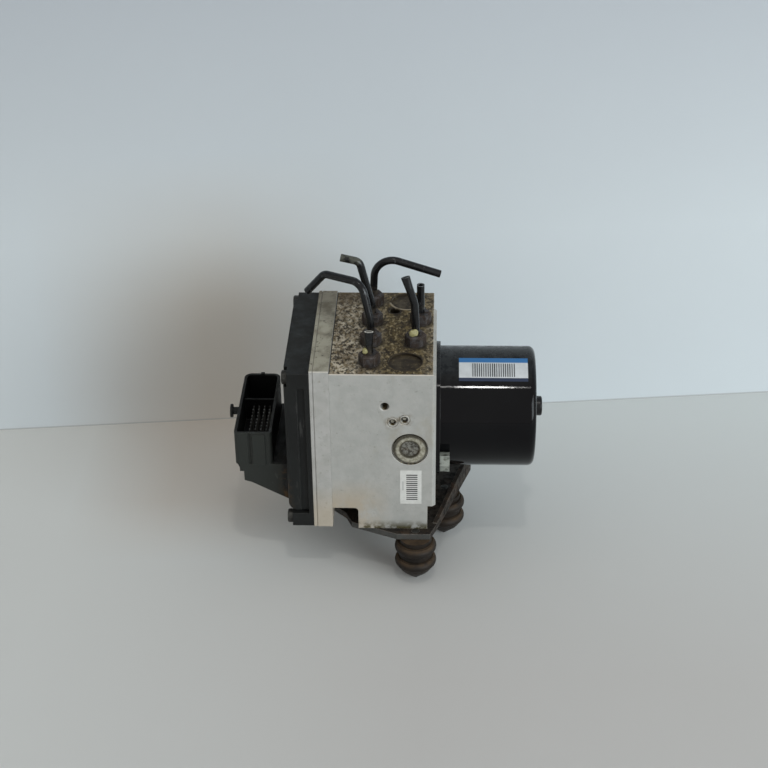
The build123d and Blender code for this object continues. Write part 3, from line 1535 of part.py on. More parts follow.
# Brake pipes: rigid coated steel tubes that start in the ports and end where they were cut off.
# Each route is given from its port's centre on the block's top: corner points, then corner radii.
pipe_routes = {
    "pipe_front_left": (port_points[0], [(0.0, 0.0, 14.5)], [], True),
    "pipe_second_left": (
        port_points[1],
        [(0.0, 0.0, 16.0), (-5.6, 4.0, 41.0), (-30.0, 20.5, 38.6), (-41.6, 25.6, 23.4)],
        [30.0, 9.0, 6.5],
        False,
    ),
    "pipe_third_left": (
        port_points[2],
        [(0.0, 0.0, 13.0), (-7.8, 0.0, 44.4), (-19.8, 0.0, 47.2)],
        [20.0, 5.0],
        False,
    ),
    "pipe_rear_left": (
        port_points[3],
        [(0.0, 0.0, 11.0), (1.4, 0.0, 36.4), (44.0, 0.0, 22.2)],
        [20.0, 12.0],
        False,
    ),
    "pipe_right": (
        port_points[4],
        [(0.0, 0.0, 13.0), (-0.6, 0.0, 29.0), (-4.0, 0.0, 40.0)],
        [20.0, 26.0],
        True,
    ),
    "pipe_far_right": (port_points[5], [(0.0, 0.0, 27.4)], [], False),
}
for name, (port, route, radii, crushed) in pipe_routes.items():
    start = Vector(port[0], port[1], block_top - pipe_seat_depth)
    corners = [start] + [Vector(port[0] + x, port[1] + y, block_top + z) for x, y, z in route]
    with BuildPart() as brake_pipe:
        with BuildLine() as pipe_line:
            if radii:
                FilletPolyline(*corners, radius=radii)
            else:
                Line(corners[0], corners[1])
        start_plane = Plane(pipe_line.line @ 0, z_dir=pipe_line.line % 0)
        end_plane = Plane(pipe_line.line @ 1, x_dir=(1, 0, 0), z_dir=pipe_line.line % 1)
        with BuildSketch(start_plane):
            Circle(pipe_radius)
        sweep(path=pipe_line.line)
        if crushed:
            with BuildSketch(end_plane):
                Circle(pipe_radius)
            with BuildSketch(end_plane.offset(crush_length)):
                Ellipse(crush_width, crush_height)
            loft()
        with BuildSketch(start_plane):
            Circle(pipe_radius - pipe_wall)
        sweep(path=pipe_line.line, mode=Mode.SUBTRACT)
        if crushed:
            with BuildSketch(end_plane):
                Circle(pipe_radius - pipe_wall)
            with BuildSketch(end_plane.offset(crush_length)):
                Ellipse(crush_width - pipe_wall, crush_height - pipe_wall)
            loft(mode=Mode.SUBTRACT)
    brake_pipe.part.label = name
    export_step(brake_pipe.part, f"parts/{name}.step")

# ================================================================ labels
# Block label: a thin sticker on the block's front face.
with BuildPart() as block_label:
    with BuildSketch(front_face):
        with Locations((block_left + block_label_inset, block_bottom + block_label_height)):
            Rectangle(block_label_width, block_label_length, align=(Align.MIN, Align.MIN))
    extrude(amount=label_thickness)
block_label.part.label = "block_label"
export_step(block_label.part, "parts/block_label.step")

# Motor label: a thin sticker wrapped on the can's upper front.
with BuildPart() as motor_label:
    label_origin = (block_right + motor_label_start, motor_y, motor_z)
    label_arc = 180 - motor_label_high, 180 - motor_label_low
    label_radii = can_radius, can_radius + label_thickness
    with BuildSketch(Plane(origin=label_origin, x_dir=(0, 1, 0), z_dir=(1, 0, 0))):
        with BuildLine():
            for radius in label_radii:
                CenterArc((0, 0), radius, label_arc[0], label_arc[1] - label_arc[0])
            for angle in label_arc:
                turn = radians(angle)
                Line(*[(radius * cos(turn), radius * sin(turn)) for radius in label_radii])
        make_face()
    extrude(amount=motor_label_length)
motor_label.part.label = "motor_label"
export_step(motor_label.part, "parts/motor_label.step")
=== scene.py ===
import json
import math

import bpy
from mathutils import Matrix, Vector, noise


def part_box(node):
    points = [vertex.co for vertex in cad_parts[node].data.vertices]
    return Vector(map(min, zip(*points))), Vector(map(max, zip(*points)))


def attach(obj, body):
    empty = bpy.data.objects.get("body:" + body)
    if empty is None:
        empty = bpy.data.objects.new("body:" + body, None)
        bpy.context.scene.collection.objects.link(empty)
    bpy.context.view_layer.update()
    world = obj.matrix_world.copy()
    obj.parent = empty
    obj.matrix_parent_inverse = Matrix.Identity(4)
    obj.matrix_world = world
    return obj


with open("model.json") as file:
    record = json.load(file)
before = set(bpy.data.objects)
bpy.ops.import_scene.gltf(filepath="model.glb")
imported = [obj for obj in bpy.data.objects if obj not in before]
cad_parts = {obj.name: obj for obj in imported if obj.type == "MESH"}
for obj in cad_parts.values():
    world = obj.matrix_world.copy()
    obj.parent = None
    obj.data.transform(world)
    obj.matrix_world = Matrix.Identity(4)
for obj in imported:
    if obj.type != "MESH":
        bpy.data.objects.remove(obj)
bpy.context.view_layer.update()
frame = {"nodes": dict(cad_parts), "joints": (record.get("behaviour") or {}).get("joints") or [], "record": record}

nodes = frame["nodes"]
bpy.ops.object.select_all(action="DESELECT")

# ---------------------------------------------------------------- valve block
# The block is a sawn and milled aluminium billet that carries everything else. Its front is satin and
# lightly scuffed, its top is pitted and caked with road dirt, and its edges are rubbed bright.


def tone(red, green, blue):
    """A colour from its 0 to 255 screen values."""
    def linear(v):
        v /= 255
        return v / 12.92 if v <= 0.04045 else ((v + 0.055) / 1.055) ** 2.4
    return (linear(red), linear(green), linear(blue), 1.0)


far = 9.0
everywhere = (-far, far)


class Finish:
    """One surface finish under construction: its material, its nodes and its Principled shader."""

    def __init__(self, name, **sockets):
        self.material = bpy.data.materials.new(name)
        self.material.use_nodes = True
        self.tree = self.material.node_tree
        self.shader = next(n for n in self.tree.nodes if n.type == "BSDF_PRINCIPLED")
        self.give(**sockets)

    def add(self, kind, settings=(), **inputs):
        return add_node(self.tree, kind, settings, **inputs)

    def effect(self, group, **inputs):
        return self.add("ShaderNodeGroup", {"node_tree": group}, **inputs)

    def zone(self, softness, x=everywhere, y=everywhere, z=everywhere):
        """White between two places along each axis, in metres, with soft ends."""
        low, high = zip(x, y, z)
        return self.effect(between, Low=low, High=high, Softness=softness)

    def layer(self, below, above, mask, strength=1.0):
        """Colour above over colour below, where the mask times the strength is white."""
        if strength != 1.0:
            mask = self.math("MULTIPLY", mask, strength)
        return self.mix("RGBA", "Color", below, above, mask)

    def blend(self, below, above, mask):
        """A number that goes from below to above where the mask is white."""
        return self.mix("FLOAT", "Float", below, above, mask)

    def mix(self, kind, label, below, above, mask):
        node = self.add("ShaderNodeMix", {"data_type": kind, "clamp_factor": True})
        for name, value in (("Factor_Float", mask), ("A_" + label, below), ("B_" + label, above)):
            put(self.tree, next(s for s in node.inputs if s.identifier == name), value)
        return next(s for s in node.outputs if s.identifier == "Result_" + label)

    def math(self, operation, first, second):
        """The outcome of a Math node, held between 0 and 1."""
        node = add_step(self.tree, "Math", operation, first, second)
        node.use_clamp = True
        return node

    def give(self, **sockets):
        set_inputs(self.tree, self.shader, sockets)

    def bump(self, height, strength, distance, edges=None):
        """Relief from a height, on top of the rounded edges where they are given."""
        node = self.add("ShaderNodeBump", Strength=strength, Distance=distance, Height=height)
        if edges is not None:
            put(self.tree, node.inputs["Normal"], edges.outputs["Normal"])
        self.give(Normal=node)

    def cover(self, *names):
        for name in names:
            nodes[name].data.materials.clear()
            nodes[name].data.materials.append(self.material)


def put(tree, socket, value):
    """Sets a socket to a number, or links it to another socket or to a node's first output."""
    if isinstance(value, bpy.types.Node):
        value = value.outputs[0]
    if isinstance(value, bpy.types.NodeSocket):
        tree.links.new(value, socket)
    else:
        socket.default_value = value


def set_inputs(tree, node, inputs):
    for name, value in inputs.items():
        put(tree, node.inputs[name.replace("_", " ")], value)


def add_node(tree, kind, settings=(), **inputs):
    node = tree.nodes.new(kind)
    for name, value in dict(settings).items():
        setattr(node, name, value)
    set_inputs(tree, node, inputs)
    return node


def add_step(tree, kind, operation, *values):
    """A Math or VectorMath node with its operation and its inputs in their order."""
    node = add_node(tree, "ShaderNode" + kind, {"operation": operation})
    for socket, value in zip(node.inputs, values):
        put(tree, socket, value)
    return node


def add_ramp(tree, value, start, end):
    """A number that goes smoothly from 0 to 1 while the value goes from start to end."""
    smooth = {"interpolation_type": "SMOOTHSTEP"}
    return add_node(tree, "ShaderNodeMapRange", smooth, Value=value, From_Min=start, From_Max=end)


def add_soft_step(tree, first, second, softness):
    """1 where first is the larger and 0 where second is, with a slope as wide as the softness."""
    past = add_step(tree, "Math", "SUBTRACT", first, second)
    half = add_step(tree, "Math", "ADD", add_step(tree, "Math", "DIVIDE", past, softness), 0.5)
    half.use_clamp = True
    return half


def new_effect(name, inputs, outputs):
    """An empty shader node group; returns it with the sockets it is given and those it has to fill."""
    group = bpy.data.node_groups.new(name, "ShaderNodeTree")
    for label, kind, value in inputs:
        socket = group.interface.new_socket(label, in_out="INPUT", socket_type=kind)
        socket.default_value = value
    for label, kind in outputs:
        group.interface.new_socket(label, in_out="OUTPUT", socket_type=kind)
    return group, group.nodes.new("NodeGroupInput").outputs, group.nodes.new("NodeGroupOutput").inputs


FLOAT, VECTOR = "NodeSocketFloat", "NodeSocketVector"

# Patches of dirt, rust or stain: white where a stretched noise passes a threshold.
patches, given, result = new_effect(
    "dirt patches",
    [("Scale", FLOAT, 60.0), ("Amount", FLOAT, 0.4), ("Softness", FLOAT, 0.08), ("Seed", FLOAT, 0.0),
     ("Stretch", VECTOR, (1.0, 1.0, 1.0))],
    [("Mask", FLOAT), ("Cloud", FLOAT)],
)
place = add_node(patches, "ShaderNodeTexCoord")
stretched = add_step(patches, "VectorMath", "MULTIPLY", place.outputs["Object"], given["Stretch"])
cloud = add_node(
    patches, "ShaderNodeTexNoise", {"noise_dimensions": "4D"},
    Vector=stretched, Scale=given["Scale"], W=given["Seed"], Detail=7.0, Roughness=0.62,
)
# The noise mostly lies between 0.3 and 0.7, so an amount of 0 to 1 sweeps the threshold over that range.
level = add_step(patches, "Math", "MULTIPLY_ADD", given["Amount"], -0.4, 0.7)
low = add_step(patches, "Math", "SUBTRACT", level, given["Softness"])
high = add_step(patches, "Math", "ADD", level, given["Softness"])
put(patches, result["Mask"], add_ramp(patches, cloud, low, high))
put(patches, result["Cloud"], cloud)

# Worn edges: the rounded normal of each edge, and a broken line where the edge is rubbed. The line
# starts where the rounded normal leaves the face's own by 10 degrees, and is full at 30.
worn_edges, given, result = new_effect(
    "worn edges",
    [("Width", FLOAT, 0.0005), ("Amount", FLOAT, 1.0)],
    [("Mask", FLOAT), ("Normal", VECTOR)],
)
rounding = add_node(worn_edges, "ShaderNodeBevel", {"samples": 4}, Radius=given["Width"])
flat_face = add_node(worn_edges, "ShaderNodeNewGeometry")
match = add_step(worn_edges, "VectorMath", "DOT_PRODUCT", rounding, flat_face.outputs["Normal"])
bent = add_ramp(worn_edges, match.outputs["Value"], 0.985, 0.86)
place = add_node(worn_edges, "ShaderNodeTexCoord")
breaks = add_node(
    worn_edges, "ShaderNodeTexNoise",
    Vector=place.outputs["Object"], Scale=220.0, Detail=4.0, Roughness=0.7,
)
line = add_step(worn_edges, "Math", "MULTIPLY", bent, add_ramp(worn_edges, breaks, 0.36, 0.52))
put(worn_edges, result["Mask"], add_step(worn_edges, "Math", "MULTIPLY", line, given["Amount"]))
put(worn_edges, result["Normal"], rounding)

# Where on the object: white between two places along X, Y and Z, with soft ends.
between, given, result = new_effect(
    "between two places",
    [("Low", VECTOR, (-far, -far, -far)), ("High", VECTOR, (far, far, far)), ("Softness", FLOAT, 0.001)],
    [("Mask", FLOAT)],
)
place = add_node(between, "ShaderNodeTexCoord")
spot, low, high = (
    add_node(between, "ShaderNodeSeparateXYZ", Vector=vector).outputs
    for vector in (place.outputs["Object"], given["Low"], given["High"])
)
total = 1.0
for axis in range(3):
    for larger, smaller in ((spot, low), (high, spot)):
        side = add_soft_step(between, larger[axis], smaller[axis], given["Softness"])
        total = add_step(between, "Math", "MULTIPLY", total, side)
put(between, result["Mask"], total)

# Which way a surface faces: white on faces that look the given way, to within 14 degrees.
facing_way, given, result = new_effect(
    "facing way", [("Way", VECTOR, (0.0, 0.0, 1.0)), ("Narrowness", FLOAT, 0.6)], [("Mask", FLOAT)]
)
place = add_node(facing_way, "ShaderNodeTexCoord")
match = add_step(facing_way, "VectorMath", "DOT_PRODUCT", place.outputs["Normal"], given["Way"])
put(facing_way, result["Mask"], add_ramp(facing_way, match.outputs["Value"], given["Narrowness"], 0.97))

# Rings: white between two distances from a centre, measured in the directions that Across keeps.
rings, given, result = new_effect(
    "rings",
    [("Centre", VECTOR, (0.0, 0.0, 0.0)), ("Across", VECTOR, (1.0, 0.0, 1.0)), ("Inner", FLOAT, -0.01),
     ("Outer", FLOAT, 0.01), ("Softness", FLOAT, 0.0005)],
    [("Mask", FLOAT)],
)
place = add_node(rings, "ShaderNodeTexCoord")
offset = add_step(rings, "VectorMath", "SUBTRACT", place.outputs["Object"], given["Centre"])
flat = add_step(rings, "VectorMath", "MULTIPLY", offset, given["Across"])
distance = add_step(rings, "VectorMath", "LENGTH", flat).outputs["Value"]
inside_outer = add_soft_step(rings, given["Outer"], distance, given["Softness"])
past_inner = add_soft_step(rings, distance, given["Inner"], given["Softness"])
put(rings, result["Mask"], add_step(rings, "Math", "MULTIPLY", inside_outer, past_inner))


def foot_of(pipe):
    """The middle of a pipe's lower end, which stands in its port."""
    corners = [vertex.co for vertex in nodes[pipe].data.vertices]
    lowest = min(corner.z for corner in corners)
    foot = [corner for corner in corners if corner.z - lowest < 0.0001]
    return Vector([(min(values) + max(values)) / 2 for values in zip(*foot)])


# The pump bore crosses the shaft, and the accumulator pistons slide under their caps.
up, front, right = Vector((0.0, 0.0, 1.0)), Vector((0.0, -1.0, 0.0)), Vector((1.0, 0.0, 0.0))
in_plan = Vector((1.0, 1.0, 0.0))
joint_places = {joint["name"]: Vector(joint["pos_m"]) for joint in frame["joints"]}
mount_places = {mount["name"]: Vector(mount["pos_m"]) for mount in frame["record"]["mounts"]}
pump_bore = joint_places["rotor_spin"]
front_cap, rear_cap = joint_places["accumulator_front_slide"], joint_places["accumulator_rear_slide"]
tapped_hole = mount_places["top_thread"]
pipes = (
    "pipe_front_left", "pipe_second_left", "pipe_third_left", "pipe_rear_left", "pipe_right",
    "pipe_far_right",
)
ball_low, ball_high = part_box("ball_plugs")
ball_reach = Vector((0.00228, 0.0, 0.00228))
left_ball, right_ball = ball_low + ball_reach, ball_high - ball_reach
block_low, block_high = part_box("valve_block")
arris_depth = 0.000575

alloy = Finish("block alloy")
cloudy = alloy.effect(patches, Scale=22.0, Amount=0.5, Softness=0.16)
body = alloy.layer(tone(187, 187, 183), tone(176, 176, 172), cloudy)
mottle = alloy.effect(patches, Scale=130.0, Amount=0.45, Softness=0.14, Seed=21.0)
body = alloy.layer(body, tone(166, 167, 163), mottle, strength=0.5)
specks = alloy.effect(patches, Scale=420.0, Amount=0.14, Softness=0.03, Seed=3.0)
body = alloy.layer(body, tone(136, 132, 120), specks, strength=0.5)
marks = alloy.effect(
    patches, Scale=95.0, Amount=0.06, Softness=0.025, Seed=11.0, Stretch=(0.6, 1.0, 1.0)
)
body = alloy.layer(body, tone(112, 110, 100), marks, strength=0.6)
smears = alloy.effect(
    patches, Scale=45.0, Amount=0.22, Softness=0.07, Seed=8.0, Stretch=(1.0, 1.0, 0.5)
)
body = alloy.layer(body, tone(166, 161, 148), smears, strength=0.6)
# Warm stain low on the left of the front and grime along the lower edge.
stain_place = alloy.zone(0.02, x=(-far, -0.004), y=(-far, -0.03), z=(-far, 0.066))
stain_cloud = alloy.effect(patches, Scale=70.0, Amount=0.62, Softness=0.15, Seed=5.0)
stain = alloy.math("MULTIPLY", stain_place, stain_cloud)
body = alloy.layer(body, tone(188, 172, 148), stain, strength=0.7)
sill_place = alloy.zone(0.006, z=(-far, block_low.z + 0.004))
sill_cloud = alloy.effect(patches, Scale=190.0, Amount=0.55, Softness=0.08, Seed=6.0)
sill = alloy.math("MULTIPLY", sill_place, sill_cloud)
body = alloy.layer(body, tone(84, 78, 52), sill)
# Stains round the ball plugs, and painted shade in the staking groove round the pump plug.
smudge_cloud = alloy.effect(patches, Scale=190.0, Amount=0.55, Softness=0.12, Seed=12.0)
front_face = alloy.effect(facing_way, Way=front)
smudge_cover = alloy.math("MULTIPLY", smudge_cloud, front_face)
for stain_centre in (left_ball - 0.0010 * up, right_ball + 0.0004 * up):
    smudge = alloy.effect(rings, Centre=stain_centre, Outer=0.0048, Softness=0.003)
    smudge = alloy.math("MULTIPLY", smudge, smudge_cover)
    body = alloy.layer(body, tone(126, 112, 90), smudge, strength=0.75)
# Painted shade in the staking groove.
groove_shade = alloy.effect(rings, Centre=pump_bore, Inner=0.0, Outer=0.0112, Softness=0.0007)
body = alloy.layer(body, tone(118, 114, 102), groove_shade)
# Scale and road dirt on the top: pale and pitted at the left, olive brown towards the right.
top = alloy.effect(facing_way, Way=up)
right_side = alloy.zone(0.016, x=(-0.006, 0.0305))
deep = (1.0, 0.7, 1.0)
crust_left = alloy.effect(patches, Scale=350.0, Amount=0.5, Softness=0.06, Seed=1.0, Stretch=deep)
crust_dark = alloy.effect(patches, Scale=560.0, Amount=0.42, Softness=0.03, Seed=2.0, Stretch=deep)
crust_soil = alloy.effect(patches, Scale=85.0, Amount=0.45, Softness=0.1, Seed=15.0, Stretch=deep)
crust_black = alloy.effect(patches, Scale=250.0, Amount=0.24, Softness=0.03, Seed=14.0, Stretch=deep)
crust_brown = alloy.effect(patches, Scale=200.0, Amount=0.5, Softness=0.1, Seed=4.0, Stretch=deep)
crust_light = alloy.effect(patches, Scale=480.0, Amount=0.34, Softness=0.04, Seed=9.0, Stretch=deep)
pale = alloy.layer(tone(196, 186, 165), tone(134, 120, 94), crust_left)
pale = alloy.layer(pale, tone(84, 68, 44), crust_soil, strength=0.65)
pale = alloy.layer(pale, tone(34, 27, 19), crust_dark, strength=0.85)
brown = alloy.layer(tone(108, 93, 60), tone(62, 50, 28), crust_brown)
brown = alloy.layer(brown, tone(168, 152, 116), crust_light, strength=0.75)
brown = alloy.layer(brown, tone(24, 19, 12), crust_dark, strength=0.7)
crust = alloy.layer(pale, brown, right_side)
crust = alloy.layer(crust, tone(32, 24, 14), crust_black, strength=0.85)
rear_corner = alloy.zone(0.009, x=(-0.034, -0.006), y=(0.044, far), z=(0.1, far))
crust = alloy.layer(crust, tone(74, 60, 40), rear_corner, strength=0.6)
# Dark soil and a painted shade ring the foot of each pipe.
for pipe in pipes:
    soil_and_shade_ring = alloy.effect(rings, Centre=foot_of(pipe), Across=in_plan, Outer=0.0082, Softness=0.0032)
    soil = alloy.math("MULTIPLY", soil_and_shade_ring, crust_left.outputs["Cloud"])
    crust = alloy.layer(crust, tone(30, 24, 16), soil, strength=1.6)
body = alloy.layer(body, crust, top)
away_from_seam = alloy.zone(0.0005, x=(block_low.x + 0.00115, far))
edges = alloy.effect(worn_edges, Width=0.0006)
rubbed = alloy.math("MULTIPLY", edges, away_from_seam)
body = alloy.layer(body, tone(230, 224, 210), rubbed, strength=0.8)
arris = alloy.zone(0.0004, y=(-far, block_low.y + arris_depth), z=(block_high.z - 0.0005, far))
body = alloy.layer(body, tone(226, 219, 207), arris, strength=0.85)
# Dirt packed in the cap recesses and the tapped hole, and down the upper part of the right side.
packed = alloy.layer(tone(58, 48, 32), tone(34, 27, 18), crust_brown)
recess = alloy.zone(0.0003, z=(0.13, far))
for hole_place, reach in ((front_cap, 0.0114), (rear_cap, 0.0114), (tapped_hole, 0.0052)):
    hole = alloy.effect(rings, Centre=hole_place, Across=in_plan, Outer=reach, Softness=0.0006)
    body = alloy.layer(body, packed, hole, strength=recess)
# The rim of the rear cap's recess is scraped pale on its near side.
rim = alloy.effect(
    rings, Centre=rear_cap, Across=in_plan, Inner=0.0109, Outer=0.0122, Softness=0.0004
)
rim_side = alloy.zone(
    0.002, x=(-far, rear_cap.x + 0.003), y=(-far, rear_cap.y - 0.002), z=(block_high.z - 0.0007, far)
)
rim_mask = alloy.math("MULTIPLY", rim, rim_side)
body = alloy.layer(body, tone(170, 158, 136), rim_mask, strength=0.85)
flank = alloy.effect(facing_way, Way=right)
flank_height = alloy.zone(0.045, z=(0.134, far))
flank_cloud = alloy.effect(patches, Scale=60.0, Amount=0.66, Softness=0.2, Seed=17.0)
flank_mask = alloy.math("MULTIPLY", flank, flank_height)
flank_mask = alloy.math("MULTIPLY", flank_mask, flank_cloud)
flank_grit = alloy.layer(tone(146, 138, 118), tone(70, 60, 44), crust_dark)
body = alloy.layer(body, flank_grit, flank_mask, strength=0.9)
# The joint with the housing shows as a dark line along the top.
seam = alloy.zone(
    0.0003, x=(-far, block_low.x + 0.00055), y=(block_low.y + 0.0007, far), z=(block_high.z - 0.0017, far)
)
body = alloy.layer(body, tone(28, 24, 18), seam)
rough = alloy.blend(0.42, 0.6, cloudy)
rough = alloy.blend(rough, 0.9, top)
metal = alloy.blend(0.35, 0.0, top)
surface = alloy.blend(specks.outputs["Cloud"], crust_left.outputs["Cloud"], top)
alloy.give(Base_Color=body, Roughness=rough, Metallic=metal)
alloy.bump(surface, strength=0.4, distance=0.0005, edges=edges)
alloy.cover("valve_block")

# ---------------------------------------------------------------- ball plugs and pump plugs
# Steel balls are pressed into the drilled channels and staked, and a disc closes each pump bore. The
# disc is bare steel: a pale turned ring, a dark shoulder and a rough freckled middle.
plug_metal = Finish("pressed plug steel", Metallic=0.45)
freckles = plug_metal.effect(patches, Scale=520.0, Amount=0.5, Softness=0.08, Seed=1.0)
disc_colour = plug_metal.layer(tone(184, 181, 166), tone(150, 146, 130), freckles)
shoulder = plug_metal.effect(rings, Centre=pump_bore, Inner=0.0052, Outer=0.0068, Softness=0.0007)
disc_colour = plug_metal.layer(disc_colour, tone(84, 80, 68), shoulder)
middle = plug_metal.effect(rings, Centre=pump_bore, Outer=0.0055, Softness=0.0006)
rough_grey = plug_metal.layer(tone(134, 133, 126), tone(74, 71, 64), freckles)
disc_colour = plug_metal.layer(disc_colour, rough_grey, middle)
# A painted shadow lies in the groove round the disc, thicker at its upper left.
shadow_centre = pump_bore + 0.0005 * (right - up)
groove_shadow = plug_metal.effect(rings, Centre=shadow_centre, Inner=0.0094, Outer=0.05, Softness=0.0011)
disc_colour = plug_metal.layer(disc_colour, tone(58, 54, 44), groove_shadow, strength=0.9)
rust = plug_metal.effect(patches, Scale=240.0, Amount=0.26, Softness=0.08, Seed=2.0)
disc_colour = plug_metal.layer(disc_colour, tone(104, 86, 62), rust, strength=0.4)
bends = plug_metal.effect(worn_edges, Width=0.0003)
plug_metal.give(Base_Color=disc_colour, Roughness=plug_metal.blend(0.42, 0.75, freckles))
plug_metal.bump(freckles.outputs["Cloud"], strength=0.5, distance=0.0004, edges=bends)
plug_metal.cover("pump_plugs")

ball_steel = Finish("staked ball", Metallic=0.6)
freckles = ball_steel.effect(patches, Scale=600.0, Amount=0.5, Softness=0.1, Seed=4.0)
ball_colour = ball_steel.layer(tone(176, 174, 164), tone(110, 104, 90), freckles)
# A painted shade rings each ball where it meets its hole.
for ball_place in (left_ball, right_ball):
    crevice_shade = ball_steel.effect(rings, Centre=ball_place, Inner=0.0012, Outer=0.0026, Softness=0.0004)
    ball_colour = ball_steel.layer(ball_colour, tone(58, 52, 42), crevice_shade)
ball_steel.give(Base_Color=ball_colour, Roughness=ball_steel.blend(0.4, 0.7, freckles))
ball_steel.bump(freckles.outputs["Cloud"], strength=0.4, distance=0.0003)
ball_steel.cover("ball_plugs")

# ---------------------------------------------------------------- accumulator caps
# Two pressed steel caps close the reservoir bores in the block's top. They sit a little below the
# face and are filled level with oily road dirt; a bare arc shows on the rear one.
cap_dirt = Finish("dirty cap")
mottle = cap_dirt.effect(patches, Scale=140.0, Amount=0.5, Softness=0.12, Seed=7.0)
cap_colour = cap_dirt.layer(tone(66, 55, 34), tone(38, 30, 19), mottle)
fine_dirt = cap_dirt.effect(patches, Scale=420.0, Amount=0.25, Softness=0.05, Seed=3.0)
cap_colour = cap_dirt.layer(cap_colour, tone(104, 90, 62), fine_dirt, strength=0.5)
arc = cap_dirt.effect(
    rings, Centre=rear_cap, Across=in_plan, Inner=0.0096, Outer=0.0108, Softness=0.0005
)
arc_place = cap_dirt.zone(0.002, x=(-far, rear_cap.x + 0.002), y=(-far, rear_cap.y - 0.002))
cap_colour = cap_dirt.layer(cap_colour, tone(150, 138, 112), arc, strength=arc_place)
bends = cap_dirt.effect(worn_edges, Width=0.0004)
cap_dirt.give(Base_Color=cap_colour, Roughness=cap_dirt.blend(0.6, 0.85, mottle))
cap_dirt.bump(mottle.outputs["Cloud"], strength=0.5, distance=0.0005, edges=bends)
cap_dirt.cover("accumulator_caps")

# ---------------------------------------------------------------- coil housing
# The frame between the block and the black cover is cast aluminium, smoother than the block, with a
# dusty top and a fine dark seam against the block.
casting = Finish("housing casting", Metallic=0.3)
haze = casting.effect(patches, Scale=30.0, Amount=0.5, Softness=0.15, Seed=2.0)
skin = casting.layer(tone(188, 187, 184), tone(178, 177, 172), haze)
mottle = casting.effect(patches, Scale=150.0, Amount=0.45, Softness=0.14, Seed=22.0)
skin = casting.layer(skin, tone(162, 162, 157), mottle, strength=0.5)
flecks = casting.effect(patches, Scale=380.0, Amount=0.16, Softness=0.03, Seed=9.0)
skin = casting.layer(skin, tone(136, 131, 116), flecks, strength=0.5)
low_stain = casting.zone(0.02, z=(-far, 0.06))
skin = casting.layer(skin, tone(190, 174, 148), low_stain, strength=0.55)
upward = casting.effect(facing_way, Way=up)
blots = casting.effect(patches, Scale=60.0, Amount=0.4, Softness=0.12, Seed=4.0)
grit = casting.effect(patches, Scale=330.0, Amount=0.2, Softness=0.03, Seed=6.0)
dusty = casting.layer(tone(172, 166, 147), tone(106, 101, 86), blots, strength=0.8)
dusty = casting.layer(dusty, tone(48, 42, 32), grit, strength=0.8)
rear_dirt = casting.zone(0.03, y=(0.030, far))
dusty = casting.layer(dusty, tone(76, 66, 50), rear_dirt, strength=0.6)
skin = casting.layer(skin, dusty, upward)
edges = casting.effect(worn_edges, Width=0.0005, Amount=0.12)
skin = casting.layer(skin, tone(216, 212, 200), edges)
housing_low, housing_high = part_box("ecu_housing")
arris = casting.zone(
    0.0004, y=(-far, housing_low.y + arris_depth), z=(housing_high.z - 0.0006, far)
)
skin = casting.layer(skin, tone(220, 215, 204), arris, strength=0.8)
casting.give(Base_Color=skin, Roughness=casting.blend(0.45, 0.75, blots))
casting.bump(flecks.outputs["Cloud"], strength=0.3, distance=0.0003, edges=edges)
casting.cover("ecu_housing")

# ---------------------------------------------------------------- controller cover
# The cover and the connector shroud are one moulding in black glass-filled plastic: fine spark grain,
# greyed by dust on top, and brown dirt caught in the trough behind the shroud.
moulding = Finish("cover plastic", Specular_IOR_Level=0.28)
haze = moulding.effect(patches, Scale=26.0, Amount=0.5, Softness=0.16, Seed=1.0)
black = moulding.layer(tone(26, 28, 27), tone(16, 17, 17), haze)
upward = moulding.effect(facing_way, Way=up, Narrowness=0.35)
settled = moulding.effect(patches, Scale=90.0, Amount=0.55, Softness=0.16, Seed=3.0)
dust = moulding.math("MULTIPLY", upward, settled)
black = moulding.layer(black, tone(42, 41, 37), dust, strength=0.4)
trough = moulding.zone(0.006, x=(-0.0675, -0.0605), y=(-0.046, -0.012), z=(0.051, 0.076))
mud = moulding.effect(patches, Scale=150.0, Amount=0.45, Softness=0.08, Seed=5.0)
soil = moulding.math("MULTIPLY", trough, mud)
black = moulding.layer(black, tone(92, 68, 36), soil, strength=0.75)
scoured = moulding.zone(0.002, x=(-far, -0.0665), y=(-far, -0.031), z=(0.05, 0.103))
black = moulding.layer(black, tone(50, 53, 49), scoured, strength=0.6)
# The inside of the connector shroud is painted near black as shade.
shroud_inside_shade = moulding.zone(0.001, x=(-0.0945, -0.0705), y=(-0.03, 0.06), z=(0.0535, 0.1018))
black = moulding.layer(black, tone(9, 9, 10), shroud_inside_shade)
scuffs = moulding.effect(
    patches, Scale=160.0, Amount=0.16, Softness=0.03, Seed=6.0, Stretch=(1.0, 1.0, 0.2)
)
black = moulding.layer(black, tone(84, 84, 82), scuffs, strength=0.4)
edges = moulding.effect(worn_edges, Width=0.0006, Amount=0.45)
black = moulding.layer(black, tone(78, 79, 76), edges)
place = moulding.add("ShaderNodeTexCoord").outputs["Object"]
grain = moulding.add("ShaderNodeTexNoise", Vector=place, Scale=1500.0, Detail=2.0)
moulding.give(Base_Color=black, Roughness=moulding.blend(0.48, 0.8, dust))
moulding.bump(grain, strength=0.25, distance=0.0002, edges=edges)
moulding.cover("ecu_cover")

